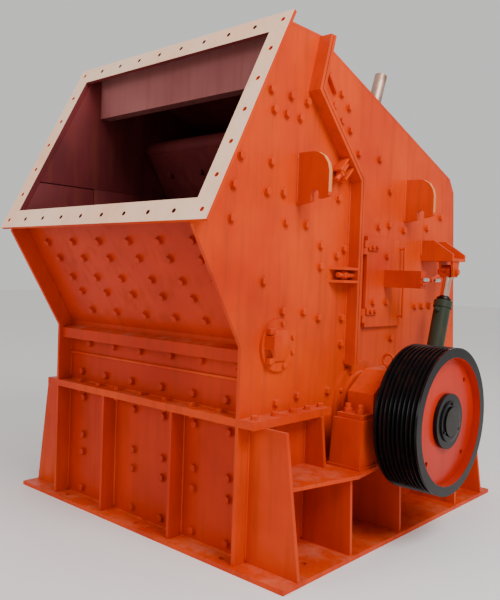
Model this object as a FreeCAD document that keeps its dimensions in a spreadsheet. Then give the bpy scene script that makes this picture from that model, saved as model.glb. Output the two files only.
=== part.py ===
import FreeCAD, Part
import Sketcher
import math
import os
import re

# A horizontal-shaft impact crusher, in millimetres.
# +X points to the belt pulley, -Y to the feed mouth, +Z up.
# The origin is the middle of the base plate's underside.
# A heading is an angle in the Y-Z plane, in degrees, from +Y towards +Z.

DIMENSIONS = {
    # plates and clearances
    "wall_plate": 20,
    "flange_plate": 20,
    "roof_plate": 16,
    "moving_gap": 5,
    "running_fit": 0.05,
    "rod_clearance": 0.3,
    # base plate
    "base_width": 2250,
    "base_length": 2260,
    "base_plate_thick": 25,
    "base_opening_width": 1480,
    "base_opening_length": 1920,
    "base_hole_radius": 17,
    "base_end_hole_pitch": 680,
    "base_end_hole_y": 1070,
    "base_side_hole_pitch": 820,
    "base_side_hole_x": 1000,
    # lower frame
    "wall_outside": 792,
    "frame_front": 1105,
    "frame_back": 1120,
    "panel_recess": 92,
    "joint_height": 730,
    "flange_overhang": 100,
    "front_arm_end": 470,
    "back_arm_start": 350,
    "back_flange_edge": 1270,
    "panel_rib_x": 300,
    "shaft_hole_radius": 115,
    # bearing shelves and their gussets
    "shelf_top": 443,
    "shelf_plate": 20,
    "shelf_corner_x": 1130,
    "shelf_middle_x": 1095,
    "shelf_end_x": 1030,
    "gusset_plate": 20,
    "gusset_foot_x": 1110,
    "end_gusset_foot_x": 1121,
    "end_gusset_top_x": 1022,
    "end_gusset_y": 1010,
    "front_gusset_y": 560,
    "back_gusset_y": 640,
    "shelf_rib_foot_x": 927,
    "shelf_rib_top_x": 900,
    # shaft, bearings and seals
    "shaft_y": -60,
    "shaft_height": 700,
    "shaft_radius": 80,
    "shaft_left_end": 1130,
    "pedestal_inside": 895,
    "pedestal_width": 190,
    "pedestal_half_length": 420,
    "pedestal_taper": 25,
    "pedestal_pad": 12,
    "cap_width": 165,
    "cap_foot_half_length": 380,
    "cap_foot_height": 25,
    "cap_half_length": 280,
    "cap_shoulder": 130,
    "cap_top_half_length": 115,
    "cap_height": 242,
    "eye_radius": 34,
    "eye_bar_radius": 8,
    "seal_radius": 268,
    "seal_step_radius": 210,
    "seal_plate": 20,
    "seal_floor": 560,
    # feed housing
    "knee_height": 1100,
    "slope_heading": 121,
    "slope_length": 686,
    "mouth_heading": 62.5,
    "mouth_length": 1205,
    "mouth_rim": 116,
    "mouth_half_width": 884,
    "mouth_hole_radius": 13,
    "mouth_hole_inset": 52,
    "housing_top": 2745,
    "knee_beam_depth": 72,
    "knee_beam_height": 80,
    "feed_beam_depth": 80,
    "feed_beam_height": 260,
    "feed_beam_y": -845,
    "feed_beam_top": 2700,
    # split between the two housings
    "split_y": -205,
    "split_turn_height": 2015,
    "split_slope_run": 420,
    "split_slope_heading": 135,
    "split_head_heading": 75,
    "split_foot": 960,
    "split_head": 2736,
    "split_overhang": 75,
    "pocket_height": 72,
    "pocket_plate": 15,
    "pocket_depth": 180,
    "pocket_middle": 1471,
    # rear housing
    "roof_heading": -19.4,
    "roof_length": 1642,
    "corner_heading": -53,
    "corner_length": 116,
    "back_heading": -84.8,
    "back_top_y": 1094,
    "back_top_height": 2090,
    # rear hinge
    "hinge_y": 1325,
    "hinge_height": 732,
    "hinge_x": 520,
    "hinge_lug_thick": 30,
    "hinge_cheek_thick": 20,
    "hinge_side_gap": 3,
    "hinge_pin_radius": 16,
    # impact apron and its tie rods
    "apron_side_gap": 27,
    "apron_pivot_y": -380,
    "apron_pivot_height": 2300,
    "apron_pivot_radius": 60,
    "apron_heading": -58,
    "apron_length": 960,
    "apron_thick": 150,
    "tie_rod_x": 600,
    "tie_rod_radius": 40,
    "tie_rod_along_roof": 820,
    "tie_rod_above_roof": 340,
    "tie_rod_below_roof": 600,
    "tie_rod_boss_radius": 62,
    "tie_rod_boss_length": 165,
    "tie_rod_collar_radius": 68,
    "tie_rod_collar_height": 70,
    # lifting hooks
    "hook_plate": 30,
    "hook_reach": 200,
    "hook_front_y": -715,
    "hook_back_y": 410,
    "hook_bottom": 1825,
    "hook_height": 270,
    # bolted side cover
    "cover_y": -835,
    "cover_height": 1099,
    "cover_radius": 135,
    "cover_plate": 16,
    # access door
    "door_front": -50,
    "door_length": 430,
    "door_bottom": 1167,
    "door_height": 541,
    "door_plate": 20,
    "door_lap": 32,
    "door_pin_y": -88,
    "door_pin_stand_off": 27,
    "door_pin_radius": 10,
    "door_knuckle_radius": 20,
    "door_knuckle_height": 40,
    "door_knuckle_inset": 70,
    "door_arm_y": 150,
    "door_arm_reach": 250,
    "door_arm_height": 104,
    "door_arm_depth": 60,
    "door_arm_middle": 1460,
    "door_arm_plate": 10,
    "door_screw_radius": 12,
    "door_handle_radius": 8,
    "door_handle_length": 210,
    "door_bar_y": 330,
    "door_bar_bottom": 1213,
    "door_bar_height": 450,
    "door_bar_stand_off": 34,
    "door_bar_end_radius": 6,
    "door_bar_end_inset": 14,
    # opening cylinders
    "cylinder_stand_off": 163,
    "foot_pin_y": 430,
    "foot_pin_height": 520,
    "head_pin_y": 725,
    "head_pin_height": 1520,
    "cylinder_pin_radius": 20,
    "eye_half_thick": 30,
    "cheek_thick": 15,
    "barrel_eye_radius": 40,
    "barrel_neck_radius": 18,
    "rod_eye_radius": 48,
    "rod_eye_clearance": 15,
    "barrel_radius": 54,
    "barrel_head_radius": 60,
    "barrel_start": 60,
    "barrel_length": 780,
    "barrel_head_length": 45,
    "rod_radius": 28,
    "rod_start": 95,
    "bracket_plate": 20,
    "bracket_reach": 228,
    "bracket_front": 650,
    "bracket_length": 190,
    "bracket_bottom": 1590,
    "bracket_height": 135,
    # rotor
    "rotor_side_gap": 72,
    "rotor_disc_radius": 560,
    "rotor_disc_thick": 80,
    "rotor_core_radius": 180,
    "blow_bar_radius": 625,
    "blow_bar_depth": 185,
    "blow_bar_thick": 90,
    # belt pulley
    "pulley_outside": 1400,
    "pulley_radius": 400,
    "rim_inside_radius": 347,
    "groove_pitch": 25.5,
    "groove_top": 21,
    "groove_bottom": 9,
    "groove_depth": 24,
    "rim_edge": 10,
    "web_recess": 42,
    "web_thick": 45,
    "web_hole_radius": 15,
    "web_hole_circle": 290,
    "hub_radius": 150,
    "hub_length": 220,
    "hub_recess": 18,
}

GROOVES = 9
MOUTH_HOLES_ACROSS = 10
MOUTH_HOLES_ALONG = 7
ROTOR_DISCS = 4
BLOW_BARS = 4

doc = FreeCAD.newDocument("impact_crusher")
sheet = doc.addObject("Spreadsheet::Sheet", "dims")
for row, (name, value) in enumerate(DIMENSIONS.items(), start=1):
    sheet.set(f"A{row}", name)
    sheet.set(f"B{row}", str(value))
    sheet.setAlias(f"B{row}", name)
doc.recompute()

subparts = []


def bound(text):
    """Turn a formula of dimension names into one that reads the sheet."""
    def lookup(match):
        word = match.group(0)
        return f"dims.{word}" if word in DIMENSIONS else word
    return re.sub(r"[a-z][a-z_]*", lookup, str(text))


def bind(item, **formulas):
    for name, formula in formulas.items():
        item.setExpression(name, bound(formula))


def place(item, x="0", y="0", z="0", axis="1; 0; 0", turn="0"):
    formula = f"placement(vector({x}; {y}; {z}); rotation(vector({axis}); {turn}))"
    item.setExpression("Placement", bound(formula))
    return item


def subpart(label, item):
    item.Label = label
    subparts.append(item)
    return item


# ---------------------------------------------------------------- points of an outline

def move(point, heading, distance):
    """A point at a distance along a heading in the Y-Z plane."""
    y, z = point
    return (f"{y} + ({distance}) * cos({heading})", f"{z} + ({distance}) * sin({heading})")


def offset_corner(point, heading_in, heading_out, distance):
    """The corner of a path moved sideways: to its left, or with a minus sign to its right."""
    y, z = point
    slip = f"({distance}) * tan((({heading_out}) - ({heading_in})) / 2)"
    return (
        f"{y} - ({distance}) * sin({heading_in}) - {slip} * cos({heading_in})",
        f"{z} + ({distance}) * cos({heading_in}) - {slip} * sin({heading_in})",
    )


KNEE = ("-frame_front", "knee_height")
MOUTH_LOW = move(KNEE, "slope_heading", "slope_length")
MOUTH_CORNER = "(slope_heading - mouth_heading)"
SPLIT_LOW = ("split_y", "split_turn_height")
SPLIT_HIGH = move(SPLIT_LOW, "split_slope_heading", "split_slope_run / cos(45)")
BACK_TOP = ("back_top_y", "back_top_height")
ROOF_BACK = move(BACK_TOP, "corner_heading", "-corner_length")
ROOF_FRONT = move(ROOF_BACK, "roof_heading", "-roof_length")


def mouth_inside(height):
    """The point at a height on the back face of the feed flange."""
    y, z = move(MOUTH_LOW, "mouth_heading - 90", "flange_plate")
    return (f"{y} + ({height} - ({z})) / tan(mouth_heading)", height)


def split_at(height, distance):
    """The point at a height on the top stretch of the split line, moved forward by a distance."""
    y, z = SPLIT_HIGH
    shift = f"({distance}) / sin(split_head_heading)"
    return (f"{y} + ({height} - ({z})) / tan(split_head_heading) - {shift}", height)


def split_line(bottom, top, distance):
    """The split line from the bottom up, moved forward by a distance."""
    return [
        (f"split_y - ({distance})", bottom),
        offset_corner(SPLIT_LOW, "90", "split_slope_heading", distance),
        offset_corner(SPLIT_HIGH, "split_slope_heading", "split_head_heading", distance),
        split_at(top, distance),
    ]


def back_at(height, distance):
    """The point at a height on the sloping back, moved inwards by a distance."""
    y, z = BACK_TOP
    shift = f"({distance}) / cos(back_heading + 90)"
    return (f"{y} + ({height} - ({z})) / tan(back_heading) - {shift}", height)


def roof_line(distance):
    """The roof, its chamfered corner and the top of the back, moved inwards by a distance."""
    inwards = f"-({distance})"
    return [
        move(ROOF_FRONT, "roof_heading - 90", distance),
        offset_corner(ROOF_BACK, "roof_heading", "corner_heading", inwards),
        offset_corner(BACK_TOP, "corner_heading", "back_heading", inwards),
    ]


# ---------------------------------------------------------------- pieces

def plate(name, plane, outline, thick, at=("0", "0", "0"), turn="0", openings=(), holes=()):
    """A flat plate: a sketched outline with openings and round holes, padded to its thickness.

    The pad grows to +X on YZ_Plane, to +Y on XZ_Plane and to +Z on XY_Plane.
    Every point of the sketch is held by two dimensions from the plane's origin.
    """
    body = doc.addObject("PartDesign::Body", name)
    sketch = body.newObject("Sketcher::SketchObject", f"{name}_sketch")
    origin_plane = next(item for item in body.Origin.OriginFeatures if item.Role == plane)
    sketch.AttachmentSupport = [(origin_plane, "")]
    sketch.MapMode = "FlatFace"

    def hold(element, point, kind, formula):
        number = sketch.addConstraint(Sketcher.Constraint(kind, -1, 1, element, point, 1.0))
        sketch.setExpression(f"Constraints[{number}]", bound(formula))

    for loop in (outline, *openings):
        first = sketch.GeometryCount
        count = len(loop)
        for index in range(count):
            angle = 2 * math.pi * index / count
            following = 2 * math.pi * (index + 1) / count
            start = FreeCAD.Vector(100 * math.cos(angle), 100 * math.sin(angle), 0)
            end = FreeCAD.Vector(100 * math.cos(following), 100 * math.sin(following), 0)
            sketch.addGeometry(Part.LineSegment(start, end), False)
        for index in range(count):
            after = first + (index + 1) % count
            sketch.addConstraint(Sketcher.Constraint("Coincident", first + index, 2, after, 1))
        for index, (across, up) in enumerate(loop):
            hold(first + index, 1, "DistanceX", across)
            hold(first + index, 1, "DistanceY", up)
    for across, up, radius in holes:
        circle = sketch.addGeometry(Part.Circle(FreeCAD.Vector(50, 50, 0), FreeCAD.Vector(0, 0, 1), 5))
        hold(circle, 3, "DistanceX", across)
        hold(circle, 3, "DistanceY", up)
        number = sketch.addConstraint(Sketcher.Constraint("Radius", circle, 5))
        sketch.setExpression(f"Constraints[{number}]", bound(radius))

    pad = body.newObject("PartDesign::Pad", f"{name}_pad")
    pad.Profile = sketch
    pad.Reversed = plane == "XZ_Plane"
    pad.Length = 1
    bind(pad, Length=thick)
    return place(body, *at, turn=turn)


def box(name, x, y, z):
    """A box from three pairs of formulas: where each side starts and how long it is."""
    item = doc.addObject("Part::Box", name)
    bind(item, Length=x[1], Width=y[1], Height=z[1])
    return place(item, x[0], y[0], z[0])


def cylinder(name, radius, length, at, axis="X"):
    """A cylinder that starts at a point and runs along +X, +Y or +Z."""
    item = doc.addObject("Part::Cylinder", name)
    bind(item, Radius=radius, Height=length)
    turns = {"X": ("0; 1; 0", "90"), "Y": ("1; 0; 0", "-90"), "Z": ("0; 0; 1", "0")}
    return place(item, *at, axis=turns[axis][0], turn=turns[axis][1])


def fuse(name, pieces):
    item = doc.addObject("Part::MultiFuse", name)
    item.Shapes = pieces
    item.Refine = True
    return item


def group(name, pieces):
    item = doc.addObject("Part::Compound", name)
    item.Links = pieces
    return item


def cut(name, base, tool):
    item = doc.addObject("Part::Cut", name)
    item.Base = base
    item.Tool = tool
    return item


def mirrored(name, source):
    item = doc.addObject("Part::Mirroring", name)
    item.Source = source
    item.Normal = FreeCAD.Vector(1, 0, 0)
    return item


def both_sides(label, item):
    """One node on the pulley side and its mirror image on the other side."""
    subpart(f"{label}_right", item)
    subpart(f"{label}_left", mirrored(f"{label}_mirror", item))


def pair(label, item):
    """A piece and its mirror image in one node."""
    subpart(label, group(f"{label}_pair", [item, mirrored(f"{label}_mirror", item)]))


def rectangle(left, right, bottom, top):
    return [(left, bottom), (right, bottom), (right, top), (left, top)]


WALL_INSIDE = "wall_outside - wall_plate"
FRONT_PANEL = "-frame_front + panel_recess"
BACK_PANEL = "frame_back - panel_recess"
FLANGE_BOTTOM = "joint_height - flange_plate"
MOVING_WALL = "wall_outside - moving_gap"
ROTOR_HALF_LENGTH = "(wall_outside - wall_plate - rotor_side_gap)"
APRON_HALF_WIDTH = "(wall_outside - moving_gap - wall_plate - apron_side_gap)"
CYLINDER_X = "(wall_outside + cylinder_stand_off)"
MOVING_FLOOR = "joint_height + moving_gap"
BACK_STRIP_FRONT = "frame_back - panel_recess + 30"


def base_plate():
    half_width = "base_opening_width / 2"
    half_length = "base_opening_length / 2"
    holes = []
    for end in ("-base_end_hole_y", "base_end_hole_y"):
        for step in (-1, 0, 1):
            holes.append((f"{step} * base_end_hole_pitch", end, "base_hole_radius"))
    for side in ("-base_side_hole_x", "base_side_hole_x"):
        for step in (-1, 0, 1):
            holes.append((side, f"{step} * base_side_hole_pitch", "base_hole_radius"))
    outline = rectangle("-base_width / 2", "base_width / 2", "-base_length / 2", "base_length / 2")
    opening = rectangle(f"-{half_width}", half_width, f"-{half_length}", half_length)
    piece = plate("base", "XY_Plane", outline, "base_plate_thick", openings=[opening], holes=holes)
    subpart("base_plate", piece)


def lower_walls():
    outline = [
        ("-frame_front", "base_plate_thick"),
        ("frame_back", "base_plate_thick"),
        ("frame_back", FLANGE_BOTTOM),
        (BACK_PANEL, FLANGE_BOTTOM),
        (BACK_PANEL, "joint_height"),
        (FRONT_PANEL, "joint_height"),
        (FRONT_PANEL, FLANGE_BOTTOM),
        ("-frame_front", FLANGE_BOTTOM),
    ]
    wall = plate("lower_wall", "YZ_Plane", outline, "wall_plate", at=(WALL_INSIDE, "0", "0"))
    hole = cylinder("lower_wall_hole", "shaft_hole_radius", "wall_plate * 3",
                    (f"{WALL_INSIDE} - wall_plate", "shaft_y", "shaft_height"))
    both_sides("lower_side_wall", cut("lower_wall_cut", wall, hole))


def lower_panel(label, panel_start, rib_start):
    """A cross panel between the side walls with two upright ribs in its recess."""
    height = "joint_height - base_plate_thick"
    panel = box(f"{label}_sheet", (f"-({WALL_INSIDE})", f"2 * ({WALL_INSIDE})"),
                (panel_start, "wall_plate"), ("base_plate_thick", height))
    pieces = [panel]
    for number, side in enumerate((-1, 1)):
        rib = box(f"{label}_rib_{'ab'[number]}", (f"{side} * panel_rib_x - wall_plate / 2", "wall_plate"),
                  (rib_start, "panel_recess"), ("base_plate_thick", f"{height} - flange_plate"))
        pieces.append(rib)
    subpart(label, fuse(f"{label}_welded", pieces))


def front_flange_outline():
    edge = "wall_outside + flange_overhang"
    return [
        (f"-({edge})", "-frame_front"),
        (edge, "-frame_front"),
        (edge, "-front_arm_end"),
        ("wall_outside", "-front_arm_end"),
        ("wall_outside", FRONT_PANEL),
        ("-wall_outside", FRONT_PANEL),
        ("-wall_outside", "-front_arm_end"),
        (f"-({edge})", "-front_arm_end"),
    ]


def back_flange_outline(wall, strip_front):
    edge = "wall_outside + flange_overhang"
    return [
        (f"-({edge})", "back_arm_start"),
        (f"-({wall})", "back_arm_start"),
        (f"-({wall})", strip_front),
        (wall, strip_front),
        (wall, "back_arm_start"),
        (edge, "back_arm_start"),
        (edge, "back_flange_edge"),
        (f"-({edge})", "back_flange_edge"),
    ]


def lower_flange():
    at = ("0", "0", FLANGE_BOTTOM)
    front = plate("lower_flange_front", "XY_Plane", front_flange_outline(), "flange_plate", at=at)
    back = plate("lower_flange_back", "XY_Plane", back_flange_outline("wall_outside", BACK_PANEL),
                 "flange_plate", at=at)
    subpart("lower_flange", group("lower_flange_halves", [front, back]))


def side_supports():
    shelf_bottom = "shelf_top - shelf_plate"
    half_gusset = "gusset_plate / 2"
    shelf_end = f"(end_gusset_y - {half_gusset})"
    shelf_outline = [
        ("wall_outside", f"-{shelf_end}"),
        ("shelf_end_x", f"-{shelf_end}"),
        ("shelf_corner_x", "-front_gusset_y + 15"),
        ("shelf_middle_x", "-front_gusset_y + 260"),
        ("shelf_middle_x", "back_gusset_y - 260"),
        ("shelf_corner_x", "back_gusset_y - 15"),
        ("shelf_end_x", shelf_end),
        ("wall_outside", shelf_end),
    ]
    pieces = [plate("shelf", "XY_Plane", shelf_outline, "shelf_plate", at=("0", "0", shelf_bottom))]
    end_outline = [
        ("wall_outside", "base_plate_thick"),
        ("end_gusset_foot_x", "base_plate_thick"),
        ("end_gusset_top_x", FLANGE_BOTTOM),
        ("wall_outside", FLANGE_BOTTOM),
    ]
    for name, middle in (("front_end", "-end_gusset_y"), ("back_end", "end_gusset_y")):
        at = ("0", f"{middle} - {half_gusset}", "0")
        pieces.append(plate(f"gusset_{name}", "XZ_Plane", end_outline, "gusset_plate", at=at))
    under_outline = [
        ("wall_outside", "base_plate_thick"),
        ("gusset_foot_x", "base_plate_thick"),
        ("shelf_middle_x", shelf_bottom),
        ("wall_outside", shelf_bottom),
    ]
    rib_outline = [
        ("wall_outside", "shelf_top"),
        ("shelf_rib_foot_x", "shelf_top"),
        ("shelf_rib_top_x", FLANGE_BOTTOM),
        ("wall_outside", FLANGE_BOTTOM),
    ]
    for name, middle in (("front", "-front_gusset_y"), ("shaft", "shaft_y"), ("back", "back_gusset_y")):
        at = ("0", f"{middle} - {half_gusset}", "0")
        pieces.append(plate(f"gusset_{name}", "XZ_Plane", under_outline, "gusset_plate", at=at))
        if name != "shaft":
            pieces.append(plate(f"rib_{name}", "XZ_Plane", rib_outline, "gusset_plate", at=at))
    both_sides("bearing_shelf", fuse("bearing_shelf_welded", pieces))


def shaft_bore(name, start, length):
    radius = "shaft_radius + running_fit"
    return cylinder(name, radius, length, (start, "shaft_y", "shaft_height"))


def pedestals():
    block_bottom = "shelf_top + pedestal_pad"
    outline = [
        ("-pedestal_half_length", block_bottom),
        ("pedestal_half_length", block_bottom),
        ("pedestal_half_length - pedestal_taper", "shaft_height"),
        ("-pedestal_half_length + pedestal_taper", "shaft_height"),
    ]
    block = plate("pedestal_block", "YZ_Plane", outline, "pedestal_width",
                  at=("pedestal_inside", "shaft_y", "0"))
    pad = box("pedestal_foot", ("pedestal_inside - 10", "pedestal_width + 20"),
              ("shaft_y - pedestal_half_length - 10", "2 * pedestal_half_length + 20"),
              ("shelf_top", "pedestal_pad"))
    bore = shaft_bore("pedestal_bore", "pedestal_inside - 10", "pedestal_width + 20")
    pair("bearing_pedestals", cut("pedestal_bored", fuse("pedestal_welded", [block, pad]), bore))


def bearing_caps():
    start = "pedestal_inside + (pedestal_width - cap_width) / 2"
    outline = [
        ("-cap_foot_half_length", "0"),
        ("cap_foot_half_length", "0"),
        ("cap_foot_half_length", "cap_foot_height"),
        ("cap_half_length", "cap_foot_height"),
        ("cap_half_length", "cap_shoulder"),
        ("cap_top_half_length", "cap_height"),
        ("-cap_top_half_length", "cap_height"),
        ("-cap_half_length", "cap_shoulder"),
        ("-cap_half_length", "cap_foot_height"),
        ("-cap_foot_half_length", "cap_foot_height"),
    ]
    hood = plate("cap_hood", "YZ_Plane", outline, "cap_width", at=(start, "shaft_y", "shaft_height"))
    middle = "pedestal_inside + pedestal_width / 2"
    top = "shaft_height + cap_height"
    stem = cylinder("cap_eye_stem", "eye_bar_radius * 1.6", "eye_bar_radius * 2",
                    (middle, "shaft_y", top), axis="Z")
    ring = doc.addObject("Part::Torus", "cap_eye_ring")
    bind(ring, Radius1="eye_radius", Radius2="eye_bar_radius")
    place(ring, middle, "shaft_y", f"{top} + eye_radius + eye_bar_radius * 1.8", turn="90")
    whole = fuse("cap_whole", [hood, stem, ring])
    bore = shaft_bore("cap_bore", f"{start} - 10", "cap_width + 20")
    pair("bearing_caps", cut("cap_bored", whole, bore))


def shaft_seals():
    outer = cylinder("seal_outer", "seal_radius", "seal_plate",
                     ("wall_outside", "shaft_y", "shaft_height"))
    step = cylinder("seal_step", "seal_step_radius", "seal_plate",
                    ("wall_outside + seal_plate", "shaft_y", "shaft_height"))
    bore = shaft_bore("seal_bore", "wall_outside - 10", "2 * seal_plate + 20")
    below = box("seal_below", ("wall_outside - 10", "2 * seal_plate + 20"),
                ("shaft_y - seal_radius - 10", "2 * seal_radius + 20"),
                ("seal_floor - seal_radius", "seal_radius"))
    tool = fuse("seal_cuts", [bore, below])
    pair("shaft_seals", cut("seal_ring", fuse("seal_steps", [outer, step]), tool))


def feed_walls():
    roof_bottom = "housing_top - roof_plate"
    outline = [
        ("-frame_front", "joint_height + flange_plate"),
        KNEE,
        move(MOUTH_LOW, "slope_heading", f"-flange_plate / sin{MOUTH_CORNER}"),
        mouth_inside(roof_bottom),
        *reversed(split_line("joint_height", roof_bottom, "0")),
        (FRONT_PANEL, "joint_height"),
        (FRONT_PANEL, "joint_height + flange_plate"),
    ]
    both_sides("feed_side_wall", plate("feed_wall", "YZ_Plane", outline, "wall_plate",
                                       at=(WALL_INSIDE, "0", "0")))


def cross_plate(label, outline, half_width):
    """A plate from side to side of a housing, drawn as its section."""
    piece = plate(label + "_body", "YZ_Plane", outline, f"2 * ({half_width})",
                  at=(f"-({half_width})", "0", "0"))
    subpart(label, piece)


def panel_corner(depth):
    return offset_corner(KNEE, "90", "slope_heading", f"-({depth})")


def panel_top(depth):
    """Where a slope at a depth behind the wall edge meets the back of the feed flange."""
    rim = move(MOUTH_LOW, "mouth_heading", f"({depth}) / sin{MOUTH_CORNER}")
    return move(rim, "slope_heading", f"-flange_plate / sin{MOUTH_CORNER}")


def feed_panels():
    deep = "panel_recess + wall_plate"
    cross_plate("feed_lower_panel", [
        (FRONT_PANEL, "joint_height"),
        (f"{FRONT_PANEL} + wall_plate", "joint_height"),
        panel_corner(deep),
        panel_corner("panel_recess"),
    ], WALL_INSIDE)
    cross_plate("feed_slope_panel", [
        panel_corner("panel_recess"),
        panel_corner(deep),
        panel_top(deep),
        panel_top("panel_recess"),
    ], WALL_INSIDE)
    cross_plate("knee_beam", [
        (FRONT_PANEL, "knee_height - knee_beam_height"),
        (FRONT_PANEL, "knee_height"),
        (f"{FRONT_PANEL} - knee_beam_depth", "knee_height - knee_beam_depth / 4"),
        (f"{FRONT_PANEL} - knee_beam_depth", "knee_height - knee_beam_height"),
    ], WALL_INSIDE)


def feed_roof():
    roof_bottom = "housing_top - roof_plate"
    cross_plate("feed_roof", [
        mouth_inside(roof_bottom),
        split_at(roof_bottom, "0"),
        split_at("housing_top", "0"),
        mouth_inside("housing_top"),
    ], "wall_outside")
    beam = box("feed_beam_box", (f"-({WALL_INSIDE})", f"2 * ({WALL_INSIDE})"),
               ("feed_beam_y", "feed_beam_depth"), ("feed_beam_top - feed_beam_height", "feed_beam_height"))
    subpart("feed_beam", beam)


def feed_flange():
    """The flange around the sloping mouth, drawn flat and tilted to the mouth's heading."""
    outline = rectangle("-mouth_half_width", "mouth_half_width", "0", "mouth_length")
    opening = rectangle(f"-({WALL_INSIDE})", WALL_INSIDE, "mouth_rim", "mouth_length - mouth_rim")
    holes = []
    for column in range(MOUTH_HOLES_ACROSS):
        across = f"(mouth_half_width - mouth_hole_inset) * {2 * column / (MOUTH_HOLES_ACROSS - 1) - 1:.9f}"
        for row in range(MOUTH_HOLES_ALONG):
            if column in (0, MOUTH_HOLES_ACROSS - 1) or row in (0, MOUTH_HOLES_ALONG - 1):
                share = row / (MOUTH_HOLES_ALONG - 1)
                along = f"mouth_hole_inset + (mouth_length - 2 * mouth_hole_inset) * {share:.9f}"
                holes.append((across, along, "mouth_hole_radius"))
    y, z = move(MOUTH_LOW, "mouth_heading - 90", "flange_plate")
    subpart("feed_flange", plate("feed_flange_body", "XY_Plane", outline, "flange_plate",
                                 at=("0", y, z), turn="mouth_heading",
                                 openings=[opening], holes=holes))


def feed_base_flange():
    subpart("feed_base_flange", plate("feed_base_flange_body", "XY_Plane", front_flange_outline(),
                                      "flange_plate", at=("0", "0", "joint_height")))


def split_flange(name, wall, near, far):
    """The flange that follows the split line down the outside of a side wall."""
    outline = split_line("split_foot", "split_head", near)
    outline += list(reversed(split_line("split_foot", "split_head", far)))
    width = f"wall_outside + split_overhang - ({wall})"
    return plate(name, "YZ_Plane", outline, width, at=(wall, "0", "0"))


def feed_split_flanges():
    """The flange on the feed side, with the two stiffeners of its bolt pocket."""
    pieces = [split_flange("feed_split", "wall_outside", "0", "flange_plate")]
    for name, side in (("low", "-1"), ("high", "1")):
        middle = f"pocket_middle + {side} * pocket_height / 2"
        outline = [
            ("wall_outside", "split_y - flange_plate - pocket_depth"),
            ("wall_outside + split_overhang", "split_y - flange_plate - pocket_depth * 0.75"),
            ("wall_outside + split_overhang", "split_y - flange_plate"),
            ("wall_outside", "split_y - flange_plate"),
        ]
        pieces.append(plate(f"pocket_{name}", "XY_Plane", outline, "pocket_plate",
                            at=("0", "0", f"{middle} - pocket_plate / 2")))
    pair("feed_split_flanges", fuse("feed_split_welded", pieces))


def lifting_hook(name, wall, start):
    """A hook plate that stands out from a side wall, with a rope notch in its lower edge."""
    right = f"{wall} + hook_reach"
    top = "hook_bottom + hook_height"
    notch = f"{wall} + hook_reach * 0.45"
    outline = [
        (wall, "hook_bottom"),
        (notch, "hook_bottom + hook_height * 0.06"),
        (notch, "hook_bottom + hook_height * 0.22"),
        (f"{notch} + hook_reach * 0.07", "hook_bottom + hook_height * 0.28"),
        (f"{notch} + hook_reach * 0.18", "hook_bottom + hook_height * 0.28"),
        (f"{notch} + hook_reach * 0.25", "hook_bottom + hook_height * 0.22"),
        (f"{notch} + hook_reach * 0.25", "hook_bottom + hook_height * 0.10"),
        (right, "hook_bottom + hook_height * 0.15"),
        (right, f"{top} - hook_height * 0.38"),
        (f"{right} - hook_reach * 0.05", f"{top} - hook_height * 0.24"),
        (f"{right} - hook_reach * 0.18", f"{top} - hook_height * 0.10"),
        (f"{right} - hook_reach * 0.36", f"{top} - hook_height * 0.02"),
        (f"{right} - hook_reach * 0.5", top),
        (wall, top),
    ]
    return plate(name, "XZ_Plane", outline, "hook_plate", at=("0", start, "0"))


def side_covers():
    """The bolted cover on each side wall of the feed housing, with its small bracket."""
    disc = cylinder("cover_disc", "cover_radius", "cover_plate", ("wall_outside", "cover_y", "cover_height"))
    bracket = box("cover_bracket", ("wall_outside", "cover_radius * 0.6"),
                  ("cover_y - cover_radius * 0.85", "cover_radius * 0.45"),
                  ("cover_height - cover_radius * 0.1", "cover_radius * 0.5"))
    pair("side_covers", fuse("cover_welded", [disc, bracket]))


# ---------------------------------------------------------------- rear housing

def door_opening():
    return rectangle(
        "door_front + door_lap",
        "door_front + door_length - door_lap",
        "door_bottom + door_lap",
        "door_bottom + door_height - door_lap",
    )


def rear_walls():
    strip_top = f"{MOVING_FLOOR} + flange_plate"
    outline = [
        *split_line(MOVING_FLOOR, "split_head - 30", "-moving_gap"),
        *roof_line("roof_plate"),
        back_at(strip_top, "roof_plate"),
        (BACK_STRIP_FRONT, strip_top),
        (BACK_STRIP_FRONT, MOVING_FLOOR),
    ]
    inside = f"{MOVING_WALL} - wall_plate"
    wall = plate("rear_wall_sheet", "YZ_Plane", outline, "wall_plate", at=(inside, "0", "0"),
                 openings=[door_opening()])
    hole = cylinder("rear_wall_hole", "shaft_hole_radius", "wall_plate * 3",
                    (f"{inside} - wall_plate", "shaft_y", "shaft_height"))
    both_sides("rear_side_wall", cut("rear_wall_cut", wall, hole))


TIE_ROD_FOOT = move(ROOF_FRONT, "roof_heading", "tie_rod_along_roof")


def along_tie_rod(name, radius, below, length, side="1"):
    """A cylinder on a tie rod's axis, from a distance below the roof's outside upwards."""
    item = doc.addObject("Part::Cylinder", name)
    bind(item, Radius=radius, Height=length)
    y, z = move(TIE_ROD_FOOT, "roof_heading - 90", below)
    return place(item, f"{side} * tie_rod_x", y, z, turn="roof_heading")


def rear_roof():
    outer = roof_line("0")
    inner = roof_line("roof_plate")
    roof_sheet = plate("rear_roof_sheet", "YZ_Plane", [outer[0], outer[1], inner[1], inner[0]],
                       f"2 * ({MOVING_WALL})", at=(f"-({MOVING_WALL})", "0", "0"))
    holes = [along_tie_rod(f"tie_rod_hole_{name}", "tie_rod_radius + rod_clearance", "roof_plate * 2",
                           "roof_plate * 4", side) for name, side in (("right", "1"), ("left", "-1"))]
    subpart("rear_roof", cut("rear_roof_cut", roof_sheet, fuse("tie_rod_holes", holes)))
    strip_top = f"{MOVING_FLOOR} + flange_plate"
    cross_plate("rear_back_wall", [
        outer[1],
        outer[2],
        back_at(strip_top, "0"),
        back_at(strip_top, "roof_plate"),
        inner[2],
        inner[1],
    ], MOVING_WALL)


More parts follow.
